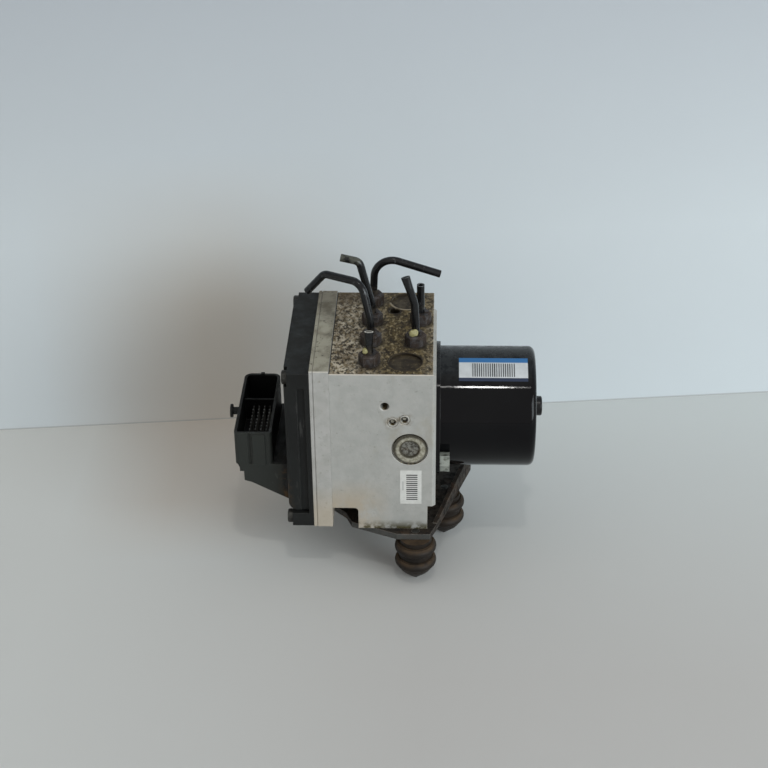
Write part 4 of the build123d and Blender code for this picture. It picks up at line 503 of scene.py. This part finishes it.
# ---------------------------------------------------------------- cover and housing screws
# Small round-headed screws in zinc-plated steel hold the cover, and others hold the housing to the
# block. The plating has dulled and gathers dirt in the drives.
plating = Finish("dull zinc", Metallic=0.7)
film = plating.effect(patches, Scale=260.0, Amount=0.5, Softness=0.12, Seed=1.0)
zinc = plating.layer(tone(72, 72, 69), tone(40, 38, 35), film)
edges = plating.effect(worn_edges, Width=0.0003, Amount=0.6)
zinc = plating.layer(zinc, tone(124, 124, 120), edges)
plating.give(Base_Color=zinc, Roughness=plating.blend(0.4, 0.75, film))
plating.bump(film.outputs["Cloud"], strength=0.3, distance=0.0002, edges=edges)
plating.cover(
    "cover_screws", "housing_screws", "foot_studs", "bracket_bolts", "coil_yokes", "motor_end_plate"
)

# ---------------------------------------------------------------- connector pins
# The pins and blades are stamped brass with a tin plating, a little tarnished. They stand in the
# connector's pockets and run back to the circuit board.


def two_toned(finish, first, second, scale, softness, strength, distance):
    """Gives a finish two tones that cloud into each other, and relief of the same pattern."""
    clouding = finish.effect(patches, Scale=scale, Amount=0.5, Softness=softness, Seed=1.0)
    finish.give(Base_Color=finish.layer(first, second, clouding))
    finish.bump(clouding.outputs["Cloud"], strength, distance)


tin = Finish("tinned brass", Metallic=0.7, Roughness=0.45)
two_toned(
    tin, tone(128, 128, 125), tone(82, 81, 77),
    scale=300.0, softness=0.15, strength=0.2, distance=0.0001,
)
tin.cover("connector_pins")

# ---------------------------------------------------------------- seals
# The cover's seal, the motor's seal ring and the shaft's lip seal are moulded in black rubber. Each
# is squeezed between the parts that it seals.
rubber = Finish("seal rubber", Roughness=0.7)
two_toned(
    rubber, tone(24, 24, 25), tone(38, 37, 36),
    scale=140.0, softness=0.2, strength=0.3, distance=0.0002,
)
rubber.cover("cover_seal", "motor_seal", "shaft_seal")

# ---------------------------------------------------------------- motor can
# The motor's case is a deep-drawn steel cup in glossy black paint, with dust on its upper side and
# paint rubbed off along the rim.
enamel = Finish("gloss black paint", Specular_IOR_Level=0.2)
film = enamel.effect(patches, Scale=30.0, Amount=0.5, Softness=0.2, Seed=1.0)
paint = enamel.layer(tone(6, 6, 9), tone(10, 11, 13), film)
upward = enamel.effect(facing_way, Way=up, Narrowness=0.74)
settled = enamel.effect(patches, Scale=150.0, Amount=0.6, Softness=0.2, Seed=2.0)
dust = enamel.math("MULTIPLY", upward, settled)
paint = enamel.layer(paint, tone(70, 73, 74), dust, strength=0.4)
edges = enamel.effect(worn_edges, Width=0.0005, Amount=0.5)
paint = enamel.layer(paint, tone(86, 86, 84), edges, strength=0.6)
ripple = enamel.effect(patches, Scale=240.0, Amount=0.5, Softness=0.25, Seed=6.0)
enamel.give(Base_Color=paint, Roughness=enamel.blend(0.03, 0.4, dust))
enamel.bump(ripple.outputs["Cloud"], strength=0.08, distance=0.0002, edges=edges)
enamel.cover("motor_can")

# Vent plug: a smooth black rubber mushroom in the can's end.
vent = Finish("vent rubber", Roughness=0.28, Specular_IOR_Level=0.35)
two_toned(
    vent, tone(14, 14, 16), tone(24, 24, 26),
    scale=90.0, softness=0.2, strength=0.15, distance=0.0003,
)
vent.cover("motor_vent_plug")

# ---------------------------------------------------------------- motor bolts
# Zinc-plated bolts hold the motor to the block. Salt has turned their plating to a white crust with
# brown pits.
crusted = Finish("salt-crusted zinc", Metallic=0.3)
salt = crusted.effect(patches, Scale=320.0, Amount=0.6, Softness=0.1, Seed=1.0)
zinc = crusted.layer(tone(88, 92, 86), tone(158, 162, 154), salt)
pit = crusted.effect(patches, Scale=500.0, Amount=0.3, Softness=0.05, Seed=2.0)
zinc = crusted.layer(zinc, tone(74, 66, 52), pit, strength=0.7)
edges = crusted.effect(worn_edges, Width=0.0006, Amount=0.5)
zinc = crusted.layer(zinc, tone(188, 191, 183), edges)
crusted.give(Base_Color=zinc, Roughness=crusted.blend(0.4, 0.85, salt))
crusted.bump(salt.outputs["Cloud"], strength=0.7, distance=0.0006, edges=edges)
crusted.cover("motor_bolts")

# ---------------------------------------------------------------- pipe nuts
# The pipe nuts are dark phosphated steel with a grey-violet corrosion skin and brown rust. Each
# clamps the flared end of its pipe in a port of the block.
phosphate = Finish("phosphated nut", Metallic=0.3)
skin_cloud = phosphate.effect(patches, Scale=170.0, Amount=0.5, Softness=0.12, Seed=1.0)
dark = phosphate.layer(tone(42, 39, 39), tone(82, 79, 80), skin_cloud)
rust = phosphate.effect(patches, Scale=210.0, Amount=0.56, Softness=0.08, Seed=2.0)
dark = phosphate.layer(dark, tone(54, 40, 28), rust, strength=0.8)
edges = phosphate.effect(worn_edges, Width=0.0005, Amount=0.6)
dark = phosphate.layer(dark, tone(128, 124, 122), edges)
phosphate.give(Base_Color=dark, Roughness=phosphate.blend(0.45, 0.8, rust))
phosphate.bump(skin_cloud.outputs["Cloud"], strength=0.5, distance=0.0004, edges=edges)
phosphate.cover("pipe_nuts")

# ---------------------------------------------------------------- marking paint
# A dab of yellow-green paint marks the right nut and the front left one as tightened. Each is a thick
# brush touch that has set as a lump on the nut's top.
marking = Finish("marking paint", Roughness=0.5)
two_toned(
    marking, tone(166, 161, 116), tone(134, 127, 82),
    scale=500.0, softness=0.15, strength=0.4, distance=0.0003,
)
# Each dab's name, place, half sizes and turn in degrees.
dabs = (
    ("paint_dab_right", (0.0186, -0.0104, 0.1640), (0.0031, 0.0018, 0.0026), 14.0),
    ("paint_dab_front_left", (-0.0112, -0.0330, 0.1640), (0.0018, 0.0018, 0.0020), -35.0),
)
lump_scale, lump_height, lump_shift = 1.4, 0.22, 500
for dab_name, dab_place, dab_size, dab_turn in dabs:
    bpy.ops.object.select_all(action="DESELECT")
    bpy.ops.mesh.primitive_ico_sphere_add(subdivisions=4, radius=1.0, location=(0.0, 0.0, 0.0))
    dab = bpy.context.object
    dab.name = dab_name
    for vertex in dab.data.vertices:
        swell = noise.noise(vertex.co * lump_scale + Vector(dab_place) * lump_shift)
        vertex.co *= 1.0 + lump_height * swell
    dab.data.transform(Matrix.Diagonal((*dab_size, 1.0)))
    dab.data.transform(Matrix.Rotation(math.radians(dab_turn), 4, "Z"))
    dab.data.transform(Matrix.Translation(dab_place))
    for face in dab.data.polygons:
        face.use_smooth = True
    dab.data.materials.append(marking.material)
    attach(dab, "unit")

# ---------------------------------------------------------------- brake pipes
# Steel tubes with a satin black plastic coating, cut off when the unit was taken out. The coating is
# scratched, scraped away near one end, and the cut ends show bare metal.
coating = Finish("pipe coating", Specular_IOR_Level=0.4)
cloud = coating.effect(patches, Scale=120.0, Amount=0.5, Softness=0.15, Seed=1.0)
black = coating.layer(tone(9, 10, 12), tone(17, 18, 20), cloud)
scratches = coating.effect(
    patches, Scale=240.0, Amount=0.2, Softness=0.03, Seed=2.0, Stretch=(1.0, 1.0, 0.25)
)
black = coating.layer(black, tone(84, 86, 88), scratches, strength=0.5)
scraped = coating.zone(0.0015, x=(-0.0285, -0.0155), z=(0.1975, far))
ragged = coating.effect(patches, Scale=230.0, Amount=0.6, Softness=0.05, Seed=7.0)
black = coating.layer(black, tone(74, 75, 67), scraped, strength=ragged)
edges = coating.effect(worn_edges, Width=0.0004)
black = coating.layer(black, tone(160, 162, 162), edges)
# The end of the front left pipe is crushed to a slit, whose opening is painted dark as shade.
stub_low, stub_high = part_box("pipe_front_left")
stub = (stub_low + stub_high) / 2
cut_ring = coating.zone(
    0.0004, x=(stub.x - 0.005, stub.x + 0.005), y=(stub.y - 0.005, stub.y + 0.005),
    z=(stub_high.z - 0.0005, stub_high.z + 0.0023),
)
end_face = coating.effect(facing_way, Way=up, Narrowness=0.7)
black = coating.layer(black, tone(188, 184, 174), cut_ring, strength=end_face)
slit_shade = coating.zone(
    0.0003, x=(stub.x - 0.00175, stub.x + 0.00175), y=(stub.y - 0.0005, stub.y + 0.0005),
    z=(stub_high.z - 0.0067, stub_high.z + 0.0033),
)
black = coating.layer(black, tone(16, 15, 14), slit_shade)
nut_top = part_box("pipe_nuts")[1].z
root_place = coating.zone(0.005, z=(-far, nut_top + 0.0042))
root_mud = coating.effect(patches, Scale=200.0, Amount=0.45, Softness=0.1, Seed=4.0)
root_dirt = coating.math("MULTIPLY", root_place, root_mud)
black = coating.layer(black, tone(66, 56, 42), root_dirt, strength=0.7)
coating.give(Base_Color=black, Roughness=coating.blend(0.22, 0.7, root_dirt))
coating.bump(cloud.outputs["Cloud"], strength=0.2, distance=0.0003, edges=edges)
coating.cover(*pipes)

# ---------------------------------------------------------------- bracket
# The bracket is a pressed steel plate. Its black coating has mostly given way to dark brown rust,
# its lower edge and lip are rubbed to bare metal, and its front-facing faces are painted grey as a highlight.
rusted = Finish("rusted plate", Specular_IOR_Level=0.3)
broad = rusted.effect(patches, Scale=45.0, Amount=0.5, Softness=0.14, Seed=1.0)
brown = rusted.layer(tone(35, 30, 26), tone(50, 42, 34), broad)
fine = rusted.effect(patches, Scale=260.0, Amount=0.42, Softness=0.08, Seed=2.0)
brown = rusted.layer(brown, tone(22, 19, 17), fine, strength=0.8)
orange = rusted.effect(patches, Scale=110.0, Amount=0.28, Softness=0.08, Seed=5.0)
brown = rusted.layer(brown, tone(72, 52, 36), orange, strength=0.6)
# The front-facing faces are painted lighter grey as a highlight.
front_highlight = rusted.effect(facing_way, Way=front, Narrowness=0.5)
brown = rusted.layer(brown, tone(92, 94, 92), front_highlight, strength=0.5)
edges = rusted.effect(worn_edges, Width=0.0008, Amount=0.8)
brown = rusted.layer(brown, tone(122, 116, 108), edges)
rusted.give(Base_Color=brown, Roughness=rusted.blend(0.6, 0.9, fine))
rusted.bump(fine.outputs["Cloud"], strength=0.6, distance=0.0006, edges=edges)
rusted.cover("mounting_bracket")

# ---------------------------------------------------------------- rubber feet
# Each foot is moulded rubber on a steel stud: two fat rings over a blunt point that pushes into the
# car's mount. The rubber is brown with age, and dust lies on the rings.
foot_rubber = Finish("foot rubber", Specular_IOR_Level=0.25)
cloud = foot_rubber.effect(patches, Scale=60.0, Amount=0.5, Softness=0.15, Seed=1.0)
dark = foot_rubber.layer(tone(23, 19, 16), tone(35, 28, 22), cloud)
upward = foot_rubber.effect(facing_way, Way=up, Narrowness=0.15)
settled = foot_rubber.effect(patches, Scale=120.0, Amount=0.6, Softness=0.15, Seed=3.0)
dust = foot_rubber.math("MULTIPLY", upward, settled)
dark = foot_rubber.layer(dark, tone(98, 80, 60), dust, strength=0.5)
foot_rubber.give(Base_Color=dark, Roughness=foot_rubber.blend(0.5, 0.9, dust))
foot_rubber.bump(cloud.outputs["Cloud"], strength=0.4, distance=0.0006)
foot_rubber.cover("rubber_feet")

# ---------------------------------------------------------------- block label
# A white paper sticker glued to the block's front, with plain dark bars across it and no words. A
# faint grey strip stands beside the bars.


def printed_bars(finish, axis, keep, count):
    """Bars across an axis, whose widths follow a noise that varies only along that axis."""
    place = finish.add("ShaderNodeTexCoord").outputs["Object"]
    direction = {"wave_type": "BANDS", "bands_direction": axis}
    wave = finish.add("ShaderNodeTexWave", direction, Vector=place, Scale=count)
    squeezed = finish.add("ShaderNodeMapping", Vector=place, Scale=keep)
    width = finish.add("ShaderNodeTexNoise", Vector=squeezed, Scale=420.0, Detail=0.0)
    return finish.math("GREATER_THAN", wave.outputs["Fac"], width)


sticker = Finish("white sticker", Roughness=0.6)
paper = sticker.effect(patches, Scale=200.0, Amount=0.4, Softness=0.2, Seed=1.0)
label_colour = sticker.layer(tone(214, 214, 210), tone(200, 200, 195), paper)
label_low, label_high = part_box("block_label")
bar_area = sticker.zone(
    0.0002,
    x=(label_low.x + 0.0040, label_high.x - 0.0026),
    z=(label_low.z + 0.0030, label_high.z - 0.0030),
)
ink = sticker.math("MULTIPLY", printed_bars(sticker, "Z", up, 200.0), bar_area)
label_colour = sticker.layer(label_colour, tone(52, 50, 50), ink)
side_print = sticker.zone(
    0.0006,
    x=(label_low.x + 0.0012, label_low.x + 0.0024),
    z=(label_low.z + 0.0105, label_high.z - 0.0085),
)
label_colour = sticker.layer(label_colour, tone(150, 150, 148), side_print, strength=0.5)
sticker.give(Base_Color=label_colour)
sticker.bump(paper.outputs["Cloud"], strength=0.15, distance=0.0002)
sticker.cover("block_label")

# ---------------------------------------------------------------- motor label
# A glossy printed sticker wrapped on the can: a blue strip along its upper edge, a white field with
# plain bars, and a thin dark blue strip along its lower edge.
wrap = Finish("printed wrap", Roughness=0.35)
motor_axis = joint_places["rotor_spin"]
spot = wrap.add("ShaderNodeSeparateXYZ", Vector=wrap.add("ShaderNodeTexCoord").outputs["Object"])
towards_front = wrap.math("SUBTRACT", motor_axis.y, spot.outputs["Y"])
above_axis = wrap.math("SUBTRACT", spot.outputs["Z"], motor_axis.z)
angle = add_step(wrap.tree, "Math", "ARCTAN2", above_axis, towards_front)
dulled = wrap.effect(patches, Scale=160.0, Amount=0.4, Softness=0.2, Seed=1.0)
print_colour = wrap.layer(tone(208, 212, 214), tone(192, 196, 198), dulled)
blue_field = wrap.math("GREATER_THAN", angle, math.radians(76.2))
print_colour = wrap.layer(print_colour, tone(44, 110, 168), blue_field)
lower_field = wrap.math("LESS_THAN", angle, math.radians(58.4))
print_colour = wrap.layer(print_colour, tone(16, 36, 66), lower_field)
wrap_low, wrap_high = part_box("motor_label")
across = wrap.zone(0.0002, x=(wrap_low.x + 0.00785, wrap_high.x - 0.00815))
above = wrap.math("GREATER_THAN", angle, math.radians(59.6))
below = wrap.math("LESS_THAN", angle, math.radians(75.0))
ink = wrap.math("MULTIPLY", printed_bars(wrap, "X", right, 225.0), across)
ink = wrap.math("MULTIPLY", ink, wrap.math("MULTIPLY", above, below))
print_colour = wrap.layer(print_colour, tone(60, 60, 62), ink)
wrap.give(Base_Color=print_colour)
wrap.bump(dulled.outputs["Cloud"], strength=0.1, distance=0.0002)
wrap.cover("motor_label")

# ---------------------------------------------------------------- coils, valves and board
# Inside the housing: wound coils in black plastic, steel valve domes and plungers, and the lacquered
# green board with its chips.
coil_plastic = Finish("coil plastic", Roughness=0.5)
two_toned(
    coil_plastic, tone(36, 36, 37), tone(50, 50, 50),
    scale=120.0, softness=0.15, strength=0.3, distance=0.0002,
)
coil_plastic.cover("valve_coils", "brush_holder", "board_components")

ground = Finish("ground steel", Metallic=0.9, Roughness=0.32)
cloud = ground.effect(
    patches, Scale=180.0, Amount=0.5, Softness=0.2, Seed=1.0, Stretch=(0.2, 1.0, 1.0)
)
edges = ground.effect(worn_edges, Width=0.0003, Amount=0.4)
steel = ground.layer(tone(150, 150, 150), tone(126, 126, 124), cloud)
ground.give(Base_Color=ground.layer(steel, tone(196, 196, 194), edges))
ground.bump(cloud.outputs["Cloud"], strength=0.2, distance=0.0001, edges=edges)
ground.cover(
    "valve_bodies", "pump_sleeves", "motor_bearings", "motor_shaft", "eccentric_ring", "armature_core",
    "pump_piston_front", "pump_piston_rear",
    *[f"{kind}_plunger_{n}" for kind in ("inlet", "outlet") for n in (1, 2, 3, 4)],
)

laminate = Finish("green board", Roughness=0.3, Coat_Weight=0.4)
traces = laminate.effect(patches, Scale=300.0, Amount=0.45, Softness=0.02, Seed=1.0)
laminate.give(Base_Color=laminate.layer(tone(24, 82, 50), tone(40, 108, 66), traces))
laminate.bump(traces, strength=0.3, distance=0.0001)
laminate.cover("circuit_board")

anodised = Finish("anodised piston", Metallic=0.7, Roughness=0.4)
two_toned(
    anodised, tone(168, 168, 164), tone(146, 146, 140),
    scale=200.0, softness=0.2, strength=0.2, distance=0.0001,
)
anodised.cover("accumulator_piston_front", "accumulator_piston_rear")

spring_wire = Finish("oiled spring wire", Metallic=0.8, Roughness=0.35)
two_toned(
    spring_wire, tone(84, 82, 80), tone(112, 110, 106),
    scale=260.0, softness=0.2, strength=0.2, distance=0.0001,
)
spring_wire.cover("pump_springs", "accumulator_spring_front", "accumulator_spring_rear")

# ---------------------------------------------------------------- motor inside
# Copper windings and commutator bars on the shaft, dark ferrite magnets bonded in the can, and carbon
# brushes in their holder.
copper = Finish("copper", Metallic=0.8, Roughness=0.4)
two_toned(
    copper, tone(176, 108, 68), tone(132, 74, 44),
    scale=240.0, softness=0.2, strength=0.3, distance=0.0002,
)
copper.cover("armature_windings", "commutator")

ferrite = Finish("ferrite and carbon", Roughness=0.6)
two_toned(
    ferrite, tone(52, 52, 54), tone(66, 66, 68),
    scale=300.0, softness=0.2, strength=0.3, distance=0.0001,
)
ferrite.cover("motor_magnets", "brush_front", "brush_rear")

# ---------------------------------------------------------------- floor and wall
# The unit stands on a plain pale board in front of a pale blue-grey wall that runs a little askew.
# Both are seen only from their fronts, so that views from behind and below are open.


def backdrop(name, colour, variation, painted_light_zones):
    """A matt material with soft zones of painted light and shade, clear when it is looked at from its back."""
    sheet = Finish(name, Roughness=0.9)
    soft = sheet.effect(patches, Scale=2.2, Amount=0.5, Softness=0.3)
    shade = sheet.layer(colour, variation, soft)
    for painted_colour, softness, spans in painted_light_zones:
        shade = sheet.layer(shade, painted_colour, sheet.zone(softness, **spans))
    sheet.give(Base_Color=shade)
    back = sheet.add("ShaderNodeNewGeometry").outputs["Backfacing"]
    clear = sheet.add("ShaderNodeBsdfTransparent")
    choice = sheet.add("ShaderNodeMixShader")
    for socket, value in zip(choice.inputs, (back, sheet.shader, clear)):
        put(sheet.tree, socket, value)
    end = next(n for n in sheet.tree.nodes if n.type == "OUTPUT_MATERIAL")
    put(sheet.tree, end.inputs["Surface"], choice)
    return sheet.material


bpy.ops.mesh.primitive_plane_add(size=1.0)
floor = bpy.context.object
floor.name = "floor"
floor_side = 6.0
floor.data.transform(Matrix.Diagonal((floor_side, floor_side, 1.0, 1.0)))
# Painted light on the floor: brighter and cooler near the wall, paler at left, a warm shade in the cover's shadow.
floor_painted_light = (
    (tone(207, 211, 210), 0.3, {"y": (0.0, far)}),
    (tone(213, 214, 211), 0.25, {"x": (-far, -0.1)}),
    (tone(202, 196, 188), 0.07, {"x": (-0.19, -0.06), "y": (0.0, far)}),
)
floor_material = backdrop("pale floor", tone(198, 196, 193), tone(195, 193, 189), floor_painted_light)
floor.data.materials.append(floor_material)

bpy.ops.mesh.primitive_plane_add(size=1.0)
wall = bpy.context.object
wall.name = "wall"
wall_start, wall_end = Vector((-0.2981, 0.1240, 0.0)), Vector((0.2927, 0.1882, 0.0))
wall_turn = math.atan2(wall_end.y - wall_start.y, wall_end.x - wall_start.x)
wall_place = (wall_start + wall_end) / 2
wall_length, wall_height = 6.0, 3.0
wall.data.transform(Matrix.Diagonal((wall_length, wall_height, 1.0, 1.0)))
wall.data.transform(Matrix.Translation((0.0, wall_height / 2, 0.0)))
wall.data.transform(Matrix.Rotation(math.radians(90), 4, "X"))
wall.data.transform(Matrix.Translation(wall_place) @ Matrix.Rotation(wall_turn, 4, "Z"))
# Painted light on the wall: darker high up, a warm shade in the unit's shadow, and a shade line along its foot.
wall_painted_light = (
    (tone(168, 173, 181), 0.30, {"z": (0.30, far)}),
    (tone(201, 197, 190), 0.12, {"x": (-0.20, -0.055), "z": (-far, 0.16)}),
    (tone(176, 178, 178), 0.0012, {"z": (-far, 0.0008)}),
)
wall_material = backdrop("pale wall", tone(213, 220, 224), tone(208, 215, 219), wall_painted_light)
wall.data.materials.append(wall_material)

# ---------------------------------------------------------------- camera
# A long lens a little over a metre away, looking down at the unit's front. It is turned a little to
# the side and leans by under a degree.
camera_data = bpy.data.cameras.new("camera")
camera_data.lens = 76.6
camera_data.sensor_width = 36.0
camera_data.clip_end = 20.0
camera = bpy.data.objects.new("camera", camera_data)
bpy.context.scene.collection.objects.link(camera)
camera_place = (0.03279, -0.90749, 0.67586)
heading, tilt, lean = -0.03711, 0.54944, -0.01128
camera.matrix_world = (
    Matrix.Translation(camera_place)
    @ Matrix.Rotation(-heading, 4, "Z")
    @ Matrix.Rotation(math.pi / 2 - tilt, 4, "X")
    @ Matrix.Rotation(lean, 4, "Z")
)
bpy.context.scene.camera = camera

# ---------------------------------------------------------------- light
# One broad soft window at the right front, a small ceiling lamp above the front, and pale room light.
# Two short faint lights beside the lamp soften the ends of its reflection in the can.


def lamp(name, place, aim, width, height, watts, colour):
    data = bpy.data.lights.new(name, "AREA")
    data.shape = "RECTANGLE"
    data.size = width
    data.size_y = height
    data.energy = watts
    data.color = colour
    light = bpy.data.objects.new(name, data)
    bpy.context.scene.collection.objects.link(light)
    light.location = place
    light.rotation_euler = (Vector(aim) - Vector(place)).to_track_quat("-Z", "Y").to_euler()


daylight, warm_white = (0.86, 0.95, 1.0), (1.0, 0.99, 0.96)
lamp("window", (1.7, -1.5, 0.8), (0.0, 0.0, 0.1), width=1.5, height=1.4, watts=32.0, colour=daylight)
for name, across, length, watts in (
    ("ceiling lamp", 0.125, 0.095, 3.0),
    ("lamp end left", 0.046, 0.012, 0.1),
    ("lamp end right", 0.204, 0.012, 0.1),
):
    place = (across, -0.85, 2.05)
    lamp(name, place, (0.05, 0.0, 0.1), width=length, height=0.1, watts=watts, colour=warm_white)
world = bpy.data.worlds.new("room")
bpy.context.scene.world = world
world.use_nodes = True
room = next(n for n in world.node_tree.nodes if n.type == "BACKGROUND")
room.inputs["Color"].default_value = (0.95, 0.93, 0.90, 1.0)
room.inputs["Strength"].default_value = 0.6

bpy.context.scene.view_settings.view_transform = "Standard"
